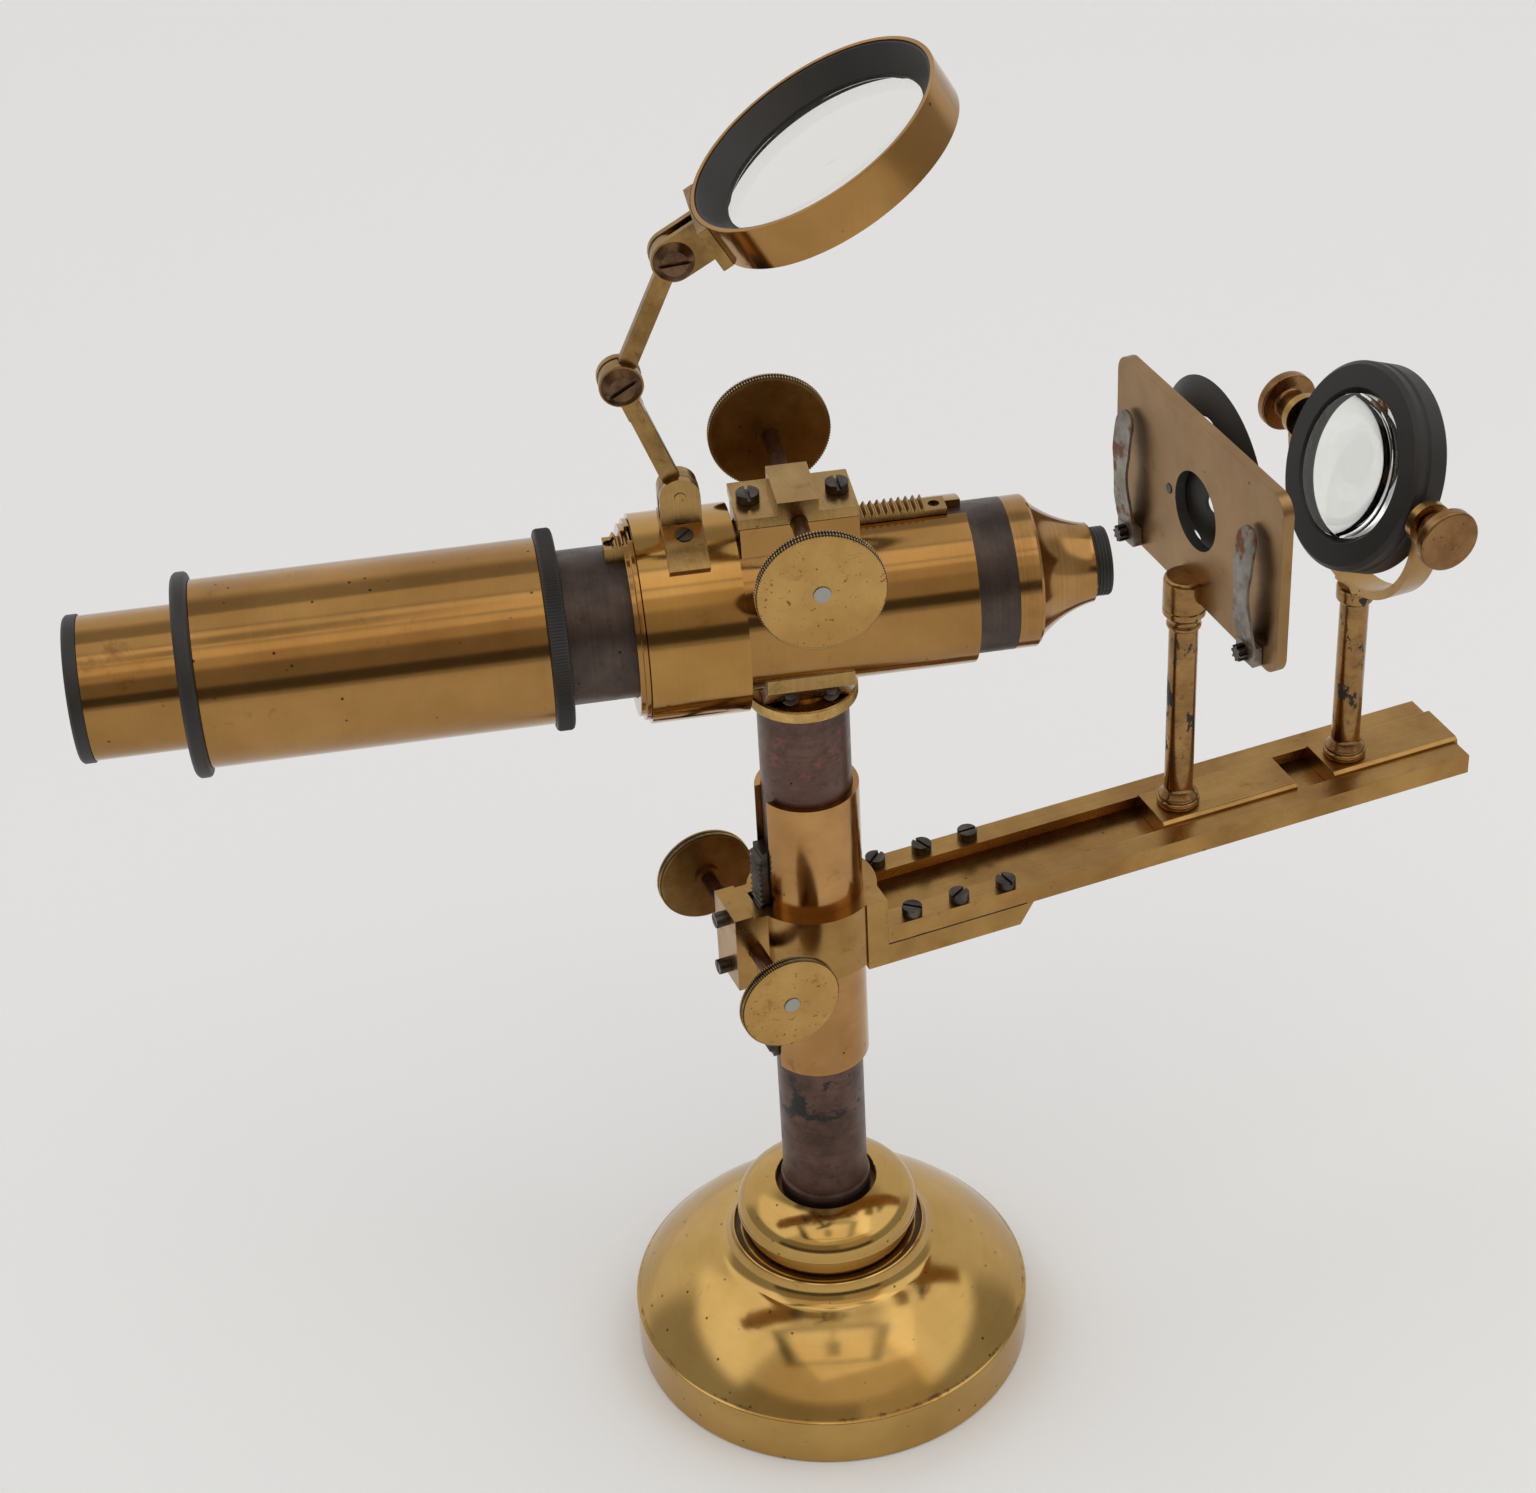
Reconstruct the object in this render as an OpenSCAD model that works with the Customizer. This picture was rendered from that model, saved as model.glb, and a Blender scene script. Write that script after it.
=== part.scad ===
/* [Base and pillar] */
// Radius of the round base
base_r = 60; // [55:0.5:68]
// Height of the upright rim of the base
rim_h = 16.2; // [12:0.1:20]
// Height where the dome of the base meets its neck
neck_z = 35.8; // [34.5:0.1:37.5]
// Radius where the dome meets the neck
neck_r = 32.8; // [31.5:0.1:36]
// Rise of the dome above its own chord
dome_bulge = 2.4; // [1.5:0.1:4]
// Outer radius of the turned groove around the boss
groove_r = 28.9; // [28.2:0.1:30]
// Height of the outer lip of that groove
groove_z = 42.5; // [39:0.1:44]
// Depth of the groove below that lip
groove_deep = 3; // [2:0.1:5]
// Radius of the sharp lip of the boss
boss_r = 27.1; // [26:0.1:27.8]
// Height of that lip
boss_lip_z = 49.3; // [47:0.1:51]
// Radius of the open mouth on top of the boss
mouth_r = 15; // [14.5:0.1:17]
// Height of the top of the boss
boss_top_z = 60.2; // [57:0.1:63]
// Radius of the flat crown of the boss
crown_r = 27; // [24:0.5:32]
// Slope of that crown where it meets the mouth
crown_deg = 14.6; // [12:0.1:17]
// Radius of the shoulder that turns the crown down to the lip
shoulder_r = 7.5; // [6.5:0.1:8.5]
// Outer radius of the pillar tube
pillar_r = 12.6; // [12:0.1:13.2]
// Wall of the pillar tube
pillar_wall = 1.9; // [1.2:0.1:3]
// Height of the top of the pillar
pillar_top_z = 235.2; // [228:0.2:242]
// How far the pillar is let into the base
pillar_seat_deep = 24; // [15:0.5:30]

/* [Lower rack and pinion] */
// Module of both racks and both pinions
gear_m = 0.6; // [0.5:0.05:0.65]
// Teeth on each pinion
pinion_teeth = 14; // [14:2:14]
// Pressure angle of the teeth
press_deg = 25; // [22:0.5:25]
// Play between meshing teeth, along the pitch line
backlash = 0.16; // [0.12:0.01:0.24]
// Width of the rack that stands on the pillar
rack_w = 7; // [6:0.1:8]
// Thickness of that rack from the pillar to its pitch line
rack_h = 3.7; // [3.2:0.05:4.2]
// Lower end of that rack
rack_z0 = 115; // [113:0.5:122]
// Upper end of that rack
rack_z1 = 188; // [180:0.5:192]
// Radius of both pinion shafts
shaft_r = 2.2; // [1.8:0.05:2.5]
// Radius of the lower knobs
low_knob_r = 14.4; // [12:0.1:16]
// Distance from the middle to the outer face of a lower knob
low_knob_y = 33.4; // [33:0.1:40]
// Thickness of every pinion knob
knob_t = 3.2; // [2.6:0.1:4]

/* [Sliding bracket] */
// Outer radius of the brass guide sleeve
sleeve_r = 14.46; // [14.1:0.02:15]
// Lower end of the guide sleeve
sleeve_z0 = 111.4; // [108:0.2:114]
// Upper end of the guide sleeve
sleeve_z1 = 205.9; // [195:0.2:208]
// Width of the slot that lets the rack through the sleeve
slot_w = 8.4; // [8.2:0.1:9.4]
// Outer radius of the bracket collar
collar_r = 18.4; // [17.8:0.1:20]
// Underside of the bracket collar
collar_z0 = 149.6; // [148.5:0.1:151]
// Top of the bracket collar and its arm block
collar_z1 = 170.3; // [169:0.1:172]
// Underside of the arm below the rail
arm_z0 = 147.5; // [146:0.1:149]
// Length of the arm from the middle of the pillar
arm_x1 = 61.6; // [58:0.2:66]
// Length of the sloping tip of the arm
arm_tip = 4.2; // [2:0.1:6]
// Thickness of the pinion cap
cap_t = 5.8; // [5:0.1:8]
// Width of the pinion cap and its seat
cap_w = 15.8; // [14:0.1:18]
// Height of the pinion cap
cap_h = 24.6; // [24:0.1:28]
// Distance of each cap screw from the pinion shaft
cap_screw_dz = 8.3; // [8:0.1:9]
// Height of the heads of the cap screws
cap_head_h = 3.2; // [2.2:0.1:3.6]
// Depth of each cap screw in the bracket
cap_screw_hold = 2; // [1.6:0.1:2.2]

/* [Rail] */
// Underside of the rail
rail_z0 = 154.3; // [153.5:0.1:155.5]
// Thickness of the rail
rail_h = 6.2; // [5.6:0.1:7]
// Half the width of the rail
rail_half = 15.95; // [15:0.05:17]
// Left end of the rail
rail_x0 = 16.3; // [16:0.1:18]
// Right end of the rail
rail_x1 = 205.4; // [195:0.2:206]
// Half the width of the mouth of the dovetail
mouth_half = 8.6; // [8:0.1:9]
// How much wider the dovetail is at its floor, on each side
dovetail_dx = 1.6; // [1:0.1:2.2]
// Thickness of metal under the dovetail
rail_floor = 1.7; // [1.4:0.1:2.2]
// First rail screw along the rail
rail_screw_x = 25; // [23:0.2:28]
// Spacing of the rail screws
rail_screw_pitch = 14.6; // [12:0.1:15]
// Distance of the rail screws from the middle of the rail
rail_screw_y = 12.8; // [12.2:0.1:13]
// Head radius of the rail screws
rail_head_r = 2.9; // [2.4:0.1:3]
// Head height of the rail screws
rail_head_h = 2.6; // [2:0.1:3]

/* [Head and body tube] */
// Turn of the head about the pillar, seen from above
head_turn = -13.25; // [-20:0.25:0]
// Height of the optical axis
axis_z = 265.4; // [265.4:0.2:272]
// Radius of the knurled disc under the head
disc_r = 15.2; // [14.5:0.1:16]
// Thickness of the knurled disc
disc_t = 3.8; // [3.2:0.1:4.4]
// Radius of the pivot that the head turns on
pivot_r = 6; // [4:0.1:7]
// Length of the saddle along the tube
saddle_len = 23.4; // [20:0.1:26]
// Half the width of the saddle
saddle_half = 19; // [18:0.1:20]
// Half the width of the foot of the saddle
saddle_foot = 9; // [8:0.1:10]
// Wall of the body tube
body_wall = 2.15; // [1.8:0.05:2.6]
// Right end of the body tube
body_x1 = 44.8; // [42:0.1:48]
// Left end of the body tube with its end ring
body_x0 = -45.3; // [-48:0.1:-44]
// Length of the end ring
end_ring_t = 2.7; // [2:0.1:3.4]
// Height of the bearing of the magnifier collar above the body tube
bearing_step = 3.5; // [3.3:0.05:3.8]
// Wall of the magnifier collar
ring_collar_wall = 1.65; // [1.4:0.05:2.2]
// Length of the magnifier collar
ring_collar_len = 26; // [22:0.1:26]

/* [Focusing] */
// Thickness of the focusing rack from the tube to its pitch line
up_rack_h = 4.5; // [4.3:0.05:4.6]
// Radius of the focusing knobs
up_knob_r = 16.8; // [14:0.1:19]
// Distance from the middle to the outer face of the near focusing knob
up_knob_y = 44.4; // [42:0.1:48]
// Distance from the middle to the outer face of the far focusing knob
up_far_knob_y = 41; // [40:0.1:48]
// Length of the pinion seat and plate along the tube
seat_len = 31.6; // [30:0.1:32.6]
// Width of the pinion seat and plate
seat_w = 19.6; // [18:0.1:22]
// Thickness of the pinion plate
seat_plate_t = 2.8; // [2.4:0.1:3.2]
// Length of the raised block on the pinion plate
block_len = 10.9; // [10.4:0.1:12]
// Height of the raised block above the plate
block_h = 3.7; // [3.5:0.1:5]
// Distance of the plate screws from the pinion
plate_screw_dx = 11.7; // [11.5:0.1:12.2]
// Width of the rack on the optical tube
up_rack_w = 6.4; // [5.6:0.1:6.8]
// Left end of that rack
up_rack_x0 = -50; // [-52:0.2:-48]
// Right end of that rack
up_rack_x1 = 40; // [39:0.2:43]

/* [Optical tube] */
// Outer radius of the dark focusing tube
tube_r = 20.4; // [20:0.1:20.6]
// Wall of the focusing tube
tube_wall = 1.3; // [1:0.1:1.8]
// Right end of the focusing tube
tube_x1 = 55.8; // [54:0.1:60]
// Height of the brass draw sleeve above the focusing tube
draw_step = 4.2; // [3.6:0.1:5]
// Wall of the draw sleeve
draw_wall = 1.4; // [1:0.1:2]
// Left end of the draw sleeve
draw_x0 = -156.8; // [-165:0.2:-150]
// Right end of the draw sleeve
draw_x1 = -67.4; // [-69:0.1:-66]
// Height of the black knurled ring above the draw sleeve
knurl_step = 2.1; // [1.4:0.1:3]
// Length of the black knurled ring
knurl_len = 5; // [4:0.1:6]
// Height of the black flange at the eyepiece end above the draw sleeve
flange_step = 2.3; // [1.5:0.1:3]
// Length of that flange
flange_len = 4.4; // [4:0.1:6]
// Radius of the eyepiece tube
eye_r = 18.9; // [17:0.1:20]
// Visible length of the eyepiece tube
eye_out = 24.8; // [20:0.2:30]
// Length of the eyepiece tube inside the draw sleeve
eye_in = 34; // [24:0.5:45]
// Radius of the black eye cap
cap_r = 19.4; // [19.1:0.1:20.5]
// Length of the eye cap
cap_len = 3.7; // [3:0.1:5]
// Length of the straight brass ring of the nose
nose_len = 6.6; // [5:0.1:8]
// Length of the hollow cone of the nose
cone_len = 16.4; // [14:0.1:18]
// Radius of the small end of the cone
cone_r = 10.7; // [10:0.1:12]
// Radius of the black objective tip
tip_r = 9.3; // [8:0.1:9.8]
// Length of the objective tip
tip_len = 4.6; // [4:0.1:6]

/* [Magnifier arm] */
// Position of the lug along the tube
lug_x = -29.5; // [-31:0.1:-28]
// Height of the lug pivot above the magnifier collar
lug_rise = 9.3; // [8.4:0.1:12]
// Width of the bracket along the tube
lug_w = 10.6; // [9:0.1:11]
// Length of each link between its pivots
link_len = 36.1; // [30:0.1:42]
// Lean of the lower link towards the eyepiece
link_low_deg = 20.4; // [10:0.2:30]
// Lean of the upper link towards the objective
link_up_deg = 25; // [15:0.2:35]
// Width of the link bars
link_w = 4.8; // [4:0.1:6]
// Thickness of the link bars
link_t = 3; // [2.4:0.1:3.6]
// Radius of the joint discs
joint_r = 5.7; // [5:0.1:6.2]
// Thickness of each cheek of a joint
cheek_t = 2.1; // [1.6:0.1:2.6]
// Radius of every joint pin
pin_r = 1.5; // [1.2:0.05:2]
// Tilt of the magnifier ring above the tube
lens_tilt = 29.6; // [20:0.2:40]
// Outer radius of the magnifier ring
lens_ring_r = 34.4; // [32:0.1:38]
// Wall of the magnifier ring
lens_ring_wall = 1.2; // [0.9:0.1:1.6]
// Height of the magnifier ring
lens_ring_h = 12.2; // [12:0.1:15]
// Distance from the last joint to the rim of the ring
lens_reach = 10.4; // [10:0.1:13]
// Half the width of the pad that carries the ring
lens_pad_half = 12.8; // [11:0.1:14]

/* [Stage] */
// Position of the stage post along the rail
stage_x = 116.3; // [112:0.2:120]
// Half the width of a slider between its bevels
slider_half = 7.4; // [7:0.1:7.7]
// Height of the sliders above the rail
slider_up = 1.5; // [1:0.1:3]
// Length of the stage slider ahead of its post
stage_slider_x0 = 9.1; // [8:0.1:11]
// Length of the stage slider behind its post
stage_slider_x1 = 35.2; // [30:0.1:36]
// Radius of both posts
post_r = 4.2; // [3.8:0.05:5]
// Radius of the foot mouldings of the posts
post_foot_r = 6.2; // [5.4:0.1:7]
// Height of the foot mouldings
post_foot_h = 6; // [4:0.1:8]
// Height of the top of the stage post
stage_post_z = 240.6; // [238:0.2:243]
// Height of the head of the stage post
stage_head_h = 12.6; // [11:0.1:14]
// Half the width of the stage plate
plate_half = 46.6; // [42:0.1:50]
// Distance of the middle of the plate from its post, towards the near side
plate_dy = 1.2; // [0:0.1:2]
// Lower edge of the stage plate
plate_z0 = 233; // [232:0.1:236]
// Upper edge of the stage plate
plate_z1 = 288.6; // [285:0.2:294]
// Thickness of the stage plate
plate_t = 3.2; // [2.6:0.1:3.6]
// Distance of the front of the plate behind the post's middle
plate_dx = 1.7; // [1:0.1:2.5]
// Radius of the stage aperture
aperture_r = 11.5; // [9:0.1:12]
// Height of the stage aperture
aperture_z = 260.8; // [259:0.1:263]
// Distance from the aperture to the pivot of the diaphragm wheel
wheel_dy = 15; // [14.4:0.1:17]
// Radius of the diaphragm wheel
wheel_r = 29.3; // [28:0.1:30]
// Depth of the dished diaphragm wheel
wheel_deep = 10.2; // [7:0.1:10.8]
// Distance of the clip screws from the middle of the plate
clip_y = 34.6; // [30:0.1:36]
// Height of the clip screws above the lower edge of the plate
clip_up = 3.2; // [3:0.1:5]
// Length of the clips
clip_len = 38; // [32:0.2:40]

/* [Condenser] */
// Position of the condenser post along the rail
cond_x = 172.1; // [168:0.2:174]
// Length of the condenser slider ahead of its post
cond_slider_x0 = 8.2; // [7.6:0.1:9]
// Length of the condenser slider behind its post
cond_slider_x1 = 33.9; // [30:0.1:36]
// Height of the axis that the lens cell tilts on
cell_z = 259.8; // [258:0.2:264]
// Radius of the lens cell
cell_r = 29.6; // [27:0.1:32]
// Radius of the clear glass in the front of the cell
glass_r = 20.4; // [19:0.1:23]
// Part of the cell ahead of its axis
cell_front_t = 5.6; // [5:0.1:7]
// Part of the cell behind its axis
cell_back_t = 5.4; // [4.8:0.1:7]
// Backward tilt of the cell
cell_tilt = 21.3; // [0:0.1:30]
// Gap between the cell and the fork
fork_gap = 2; // [1.4:0.1:3]
// Depth of the middle of the round of the fork below its ears
fork_drop = 3; // [0:0.1:5]
// Thickness of the fork
fork_t = 2.6; // [2:0.1:3.4]
// Half the width of the seat below the fork
fork_seat_half = 5; // [4.4:0.1:7]
// Thickness of that seat
fork_seat_t = 0.6; // [0.4:0.1:1.2]
// Height of the neck ring of the condenser post
neck_ring_h = 5.6; // [4.6:0.1:8]
// Height of the neck ring above the shaft of the post
neck_ring_step = 1.3; // [0.8:0.1:2]
// Width of the fork
fork_w = 8; // [7:0.1:10]
// Radius of the ears of the fork
ear_r = 6.4; // [5:0.1:7.5]
// Radius of the pins that the cell tilts on
tilt_pin_r = 2; // [1.6:0.1:2.6]
// Radius of the collars between the ears and the tilt knobs
tilt_collar_r = 4.2; // [3:0.1:5.5]
// Radius of the two tilt knobs
tilt_knob_r = 8.9; // [8:0.1:10]
// Distance from the middle to the outer face of a tilt knob
tilt_knob_y = 44.8; // [42:0.1:47]
// Thickness of the tilt knobs
tilt_knob_t = 3.4; // [2.8:0.1:4]

/* [Fits] */
// Radial clearance of running and sliding fits
run_gap = 0.05; // [0.03:0.01:0.09]
// Clearance between pieces that are fixed together
seat_gap = 0.02; // [0.01:0.01:0.05]
// Clearance beside pieces that only pass one another
pass_gap = 0.3; // [0.2:0.05:0.5]

/* [Hidden] */

round_fn = 96;
small_fn = 48;
brass = [0.72, 0.53, 0.27];
copper_brass = [0.70, 0.47, 0.28];
dark_bronze = [0.32, 0.25, 0.24];
steel = [0.42, 0.42, 0.42];
black = [0.12, 0.12, 0.13];
glass = [0.85, 0.90, 0.92];

pitch = PI * gear_m;
pinion_pitch_r = gear_m * pinion_teeth / 2;
addendum = 0.9 * gear_m;
dedendum = 1.25 * gear_m;
pinion_tip_r = pinion_pitch_r + addendum;
pinion_room = pinion_tip_r + pass_gap;

low_pinion_x = -(pillar_r + rack_h + pinion_pitch_r);
low_pinion_z = (collar_z0 + collar_z1) / 2 - 1.05;
pillar_seat_z = boss_top_z - 4 - pillar_seat_deep;
foot_ring_r = pillar_r + 0.7;
foot_ring_z = boss_top_z + 3;
rail_z1 = rail_z0 + rail_h;
disc_z0 = pillar_top_z + pass_gap / 3;
disc_z1 = disc_z0 + disc_t;
pivot_top_z = disc_z1 + 2.6;

body_r = tube_r + run_gap + body_wall;
bearing_r = body_r + bearing_step;
ring_collar_r = bearing_r + run_gap + ring_collar_wall;
draw_r = tube_r + draw_step;
knurl_r = draw_r + knurl_step;
flange_r = draw_r + flange_step;
up_pitch_h = tube_r + up_rack_h;
up_shaft_h = up_pitch_h + pinion_pitch_r;
lug_h = ring_collar_r + lug_rise;
bearing_x0 = body_x0 + end_ring_t;
ring_collar_x0 = bearing_x0 + 0.1;
ring_collar_x1 = ring_collar_x0 + ring_collar_len;
tube_x0 = draw_x1 + 1;
sleeve_ring_x1 = draw_x1 + knurl_len;
tube_bore = tube_r - tube_wall;
nose_x1 = tube_x1 + nose_len;
cone_x1 = nose_x1 + cone_len;
tip_x1 = cone_x1 + tip_len;
eye_x0 = draw_x0 - flange_len - eye_out;
eye_x1 = draw_x0 + eye_in;
draw_bore = draw_r - draw_wall;

elbow = [lug_x - link_len * sin(link_low_deg), lug_h + link_len * cos(link_low_deg)];
top_joint = [elbow[0] + link_len * sin(link_up_deg), elbow[1] + link_len * cos(link_up_deg)];
cheek_y0 = link_t / 2 + run_gap;
cheek_y1 = cheek_y0 + cheek_t;
screw_head_t = 1.6;
lens_c = lens_reach + lens_ring_r;
lens_drop = 0.9;
lens_z1 = lens_ring_h / 2 + lens_drop;
lens_z0 = lens_z1 - lens_ring_h;
lens_seat_z = lens_z1 - 6.2;

slider_z1 = rail_z1 + slider_up;
cell_seam = tilt_pin_r + 0.4;
cell_seat_x = -cell_seam - 0.2;
dovetail_z0 = rail_z0 + rail_floor;
plate_x0 = stage_x + plate_dx;
plate_x1 = plate_x0 + plate_t;
wheel_y = wheel_dy - plate_dy;
wheel_z = aperture_z - 0.6;
wheel_gap = 0.4;
wheel_t = 0.9;
wheel_sphere_r = (wheel_r * wheel_r + wheel_deep * wheel_deep) / (2 * wheel_deep);
wheel_hole_r = [3.2, 2, 4.5, 6, 7.5];
clip_z = plate_z0 + clip_up;
clip_foot_t = 3;
clip_t = 0.9;
clip_half = 4.6;
clip_lean_far = 4;
clip_lean_near = 3;

fork_r0 = sqrt(pow(cell_r, 2) + pow(max(cell_front_t, cell_back_t), 2)) + fork_gap;
fork_r1 = fork_r0 + fork_t;
cond_post_z = cell_z - fork_drop - fork_r1 - fork_seat_t;

// A rod or a tube along X between two places
module rod_x(x0, x1, r, fn = round_fn) {
    translate([x0, 0, 0]) rotate([0, 90, 0]) cylinder(h = x1 - x0, r = r, $fn = fn);
}

module tube_x(x0, x1, r, bore, fn = round_fn) {
    difference() {
        rod_x(x0, x1, r, fn);
        rod_x(x0 - 1, x1 + 1, bore, fn);
    }
}

// A rod along Y between two places
module rod_y(y0, y1, r, fn = small_fn) {
    translate([0, y0, 0]) rotate([-90, 0, 0]) cylinder(h = y1 - y0, r = r, $fn = fn);
}

// The frame of the head: X along the optical axis, Y along the focusing shaft
module in_head() {
    rotate([0, 0, head_turn]) translate([0, 0, axis_z]) children();
}

// Involute of an angle, in degrees
function involute(a) = tan(a) * 180 / PI - a;

function tooth_half_deg(r) =
    90 / pinion_teeth - backlash / 4 / pinion_pitch_r * 180 / PI
    + involute(press_deg) - involute(acos(min(1, pinion_pitch_r * cos(press_deg) / r)));

function polar(r, a) = [r * cos(a), r * sin(a)];

// Outline of a pinion with a gap facing the +X direction
module pinion_outline() {
    root_r = pinion_pitch_r - dedendum;
    flank_r = [for (k = [0:4]) pinion_pitch_r * cos(press_deg) * 1.001
        + (pinion_tip_r - pinion_pitch_r * cos(press_deg) * 1.001) * k / 4];
    polygon([for (i = [0:pinion_teeth - 1]) let (a = (i + 0.5) * 360 / pinion_teeth) each concat(
        [polar(root_r, a - tooth_half_deg(flank_r[0]))],
        [for (k = [0:4]) polar(flank_r[k], a - tooth_half_deg(flank_r[k]))],
        [for (k = [4:-1:0]) polar(flank_r[k], a + tooth_half_deg(flank_r[k]))],
        [polar(root_r, a + tooth_half_deg(flank_r[0]))]
    )]);
}

// Side outline of a rack: X runs along it from a to b, Y is height above the pitch line,
// and a tooth stands at X = 0
module rack_outline(a, b, back) {
    first = ceil((a + pitch) / pitch);
    last = floor((b - pitch) / pitch);
    half = pitch / 4 - backlash / 4;
    tip = half - addendum * tan(press_deg);
    root = half + dedendum * tan(press_deg);
    polygon(concat(
        [[a, -back], [a, -dedendum]],
        [for (i = [first:last]) each [
            [i * pitch - root, -dedendum], [i * pitch - tip, addendum],
            [i * pitch + tip, addendum], [i * pitch + root, -dedendum]
        ]],
        [[b, -dedendum], [b, -back]]
    ));
}

// A slotted screw: its head stands on Z = 0 and its shank runs down
module slotted_screw(head_r, head_h, shank_r, shank_l, slot_turn = 0) {
    slot_half = head_r * 0.14;
    difference() {
        union() {
            cylinder(h = head_h, r = head_r, $fn = small_fn);
            translate([0, 0, -shank_l]) cylinder(h = shank_l + 0.1, r = shank_r, $fn = small_fn);
        }
        rotate([0, 0, slot_turn]) translate([-head_r - 1, -slot_half, head_h - head_r * 0.34])
            cube([2 * head_r + 2, 2 * slot_half, head_r]);
    }
}

// A thin knob on a shaft along Y: a disc with a groove around its rim and a shallow cone
module pinion_knob(r, y1) {
    groove = knob_t / 8;
    rotate([-90, 0, 0]) difference() {
        union() {
            translate([0, 0, y1 - knob_t]) rotate_extrude($fn = round_fn) polygon([
                [0, 0], [r - groove, 0], [r, groove], [r, knob_t / 2 - groove], [r - groove, knob_t / 2],
                [r, knob_t / 2 + groove], [r, knob_t - groove], [r - groove, knob_t],
                [0, knob_t]
            ]);
            translate([0, 0, y1 - knob_t - 1.6]) cylinder(h = 2, r = shaft_r + 1.6, $fn = small_fn);
        }
        translate([0, 0, y1 - knob_t - 3]) cylinder(h = knob_t + 6, r = shaft_r + seat_gap, $fn = small_fn);
    }
}

module pinion_shaft(near_y, far_y, tooth_half_len) {
    rod_y(-near_y, far_y, shaft_r);
    rotate([-90, 0, 0]) translate([0, 0, -tooth_half_len])
        linear_extrude(2 * tooth_half_len) children();
}

// Domed, turned base with a groove and a boss, and the socket for the pillar
module base_shell() {
    chord = sqrt(pow(base_r - neck_r, 2) + pow(neck_z - rim_h, 2));
    dome_r = (chord * chord / 4 + dome_bulge * dome_bulge) / (2 * dome_bulge);
    nx = (neck_z - rim_h) / chord;
    nz = (base_r - neck_r) / chord;
    cove_r = (pow(neck_r - groove_r, 2) + pow(groove_z - neck_z, 2)) / (2 * (neck_r - groove_r));
    wall_r = boss_r - 0.8;
    cx = mouth_r - crown_r * sin(crown_deg);
    cz = boss_top_z - crown_r * cos(crown_deg);
    sx = boss_r - shoulder_r;
    sz = cz + sqrt(pow(crown_r - shoulder_r, 2) - pow(sx - cx, 2));
    crown_end = cx + (sx - cx) * crown_r / (crown_r - shoulder_r);
    color(brass) difference() {
        rotate_extrude($fn = 180) difference() {
            union() {
                square([base_r, rim_h]);
                intersection() {
                    translate([neck_r - 0.01, 0]) square([base_r - neck_r + 0.01, neck_z + dome_bulge + 2]);
                    translate([(base_r + neck_r) / 2 - nx * (dome_r - dome_bulge),
                        (rim_h + neck_z) / 2 - nz * (dome_r - dome_bulge)]) circle(r = dome_r, $fn = 360);
                }
                difference() {
                    square([neck_r, groove_z]);
                    translate([groove_r + cove_r, groove_z]) circle(r = cove_r, $fn = 180);
                }
                square([wall_r, boss_lip_z]);
                intersection() {
                    translate([0, boss_lip_z]) square([crown_end, boss_top_z]);
                    translate([cx, cz]) circle(r = crown_r, $fn = 360);
                }
                intersection() {
                    translate([0, boss_lip_z]) square([boss_r, boss_top_z]);
                    translate([sx, sz]) circle(r = shoulder_r, $fn = 180);
                }
                translate([0, boss_lip_z - 1]) square([boss_r, sz - boss_lip_z + 1]);
                square([mouth_r, boss_top_z]);
            }
            translate([wall_r, groove_z - groove_deep]) square([groove_r - wall_r, groove_deep + 0.01]);
            translate([foot_ring_r + 5, -1]) square([base_r - foot_ring_r - 12, 4]);
        }
        translate([0, 0, boss_top_z - 4]) cylinder(h = 5, r = mouth_r, $fn = round_fn);
        translate([0, 0, pillar_seat_z]) cylinder(h = boss_top_z, r = pillar_r + seat_gap, $fn = round_fn);
    }
}

// Dark bronze tube with a small turned ring where it meets the base
module pillar_tube() {
    color(dark_bronze) difference() {
        union() {
            translate([0, 0, pillar_seat_z])
                cylinder(h = pillar_top_z - pillar_seat_z, r = pillar_r, $fn = round_fn);
            translate([0, 0, boss_top_z - 4])
                cylinder(h = foot_ring_z - boss_top_z + 4, r = foot_ring_r, $fn = round_fn);
        }
        translate([0, 0, pillar_seat_z + 6])
            cylinder(h = pillar_top_z, r = pillar_r - pillar_wall, $fn = round_fn);
    }
}

// Plug in the top of the pillar with the pivot of the head
module pillar_head() {
    plug_h = 22;
    color(brass) translate([0, 0, pillar_top_z - plug_h]) {
        cylinder(h = plug_h, r = pillar_r - pillar_wall - seat_gap, $fn = round_fn);
        cylinder(h = plug_h + pivot_top_z - pillar_top_z, r = pivot_r, $fn = small_fn);
    }
}

// Steel rack that stands on the pillar and shows through the slot of the sleeve
module pillar_rack() {
    color(steel) difference() {
        intersection() {
            translate([-(pillar_r + rack_h), rack_w / 2, low_pinion_z]) rotate([0, -90, 0]) rotate([90, 0, 0])
                linear_extrude(rack_w)
                    rack_outline(rack_z0 - low_pinion_z, rack_z1 - low_pinion_z, rack_h + 2);
            translate([-pillar_r - rack_h - 2, -rack_w, rack_z0])
                cube([rack_h + 4, 2 * rack_w, rack_z1 - rack_z0]);
        }
        cylinder(h = pillar_top_z, r = pillar_r + seat_gap, $fn = round_fn);
    }
}

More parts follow.
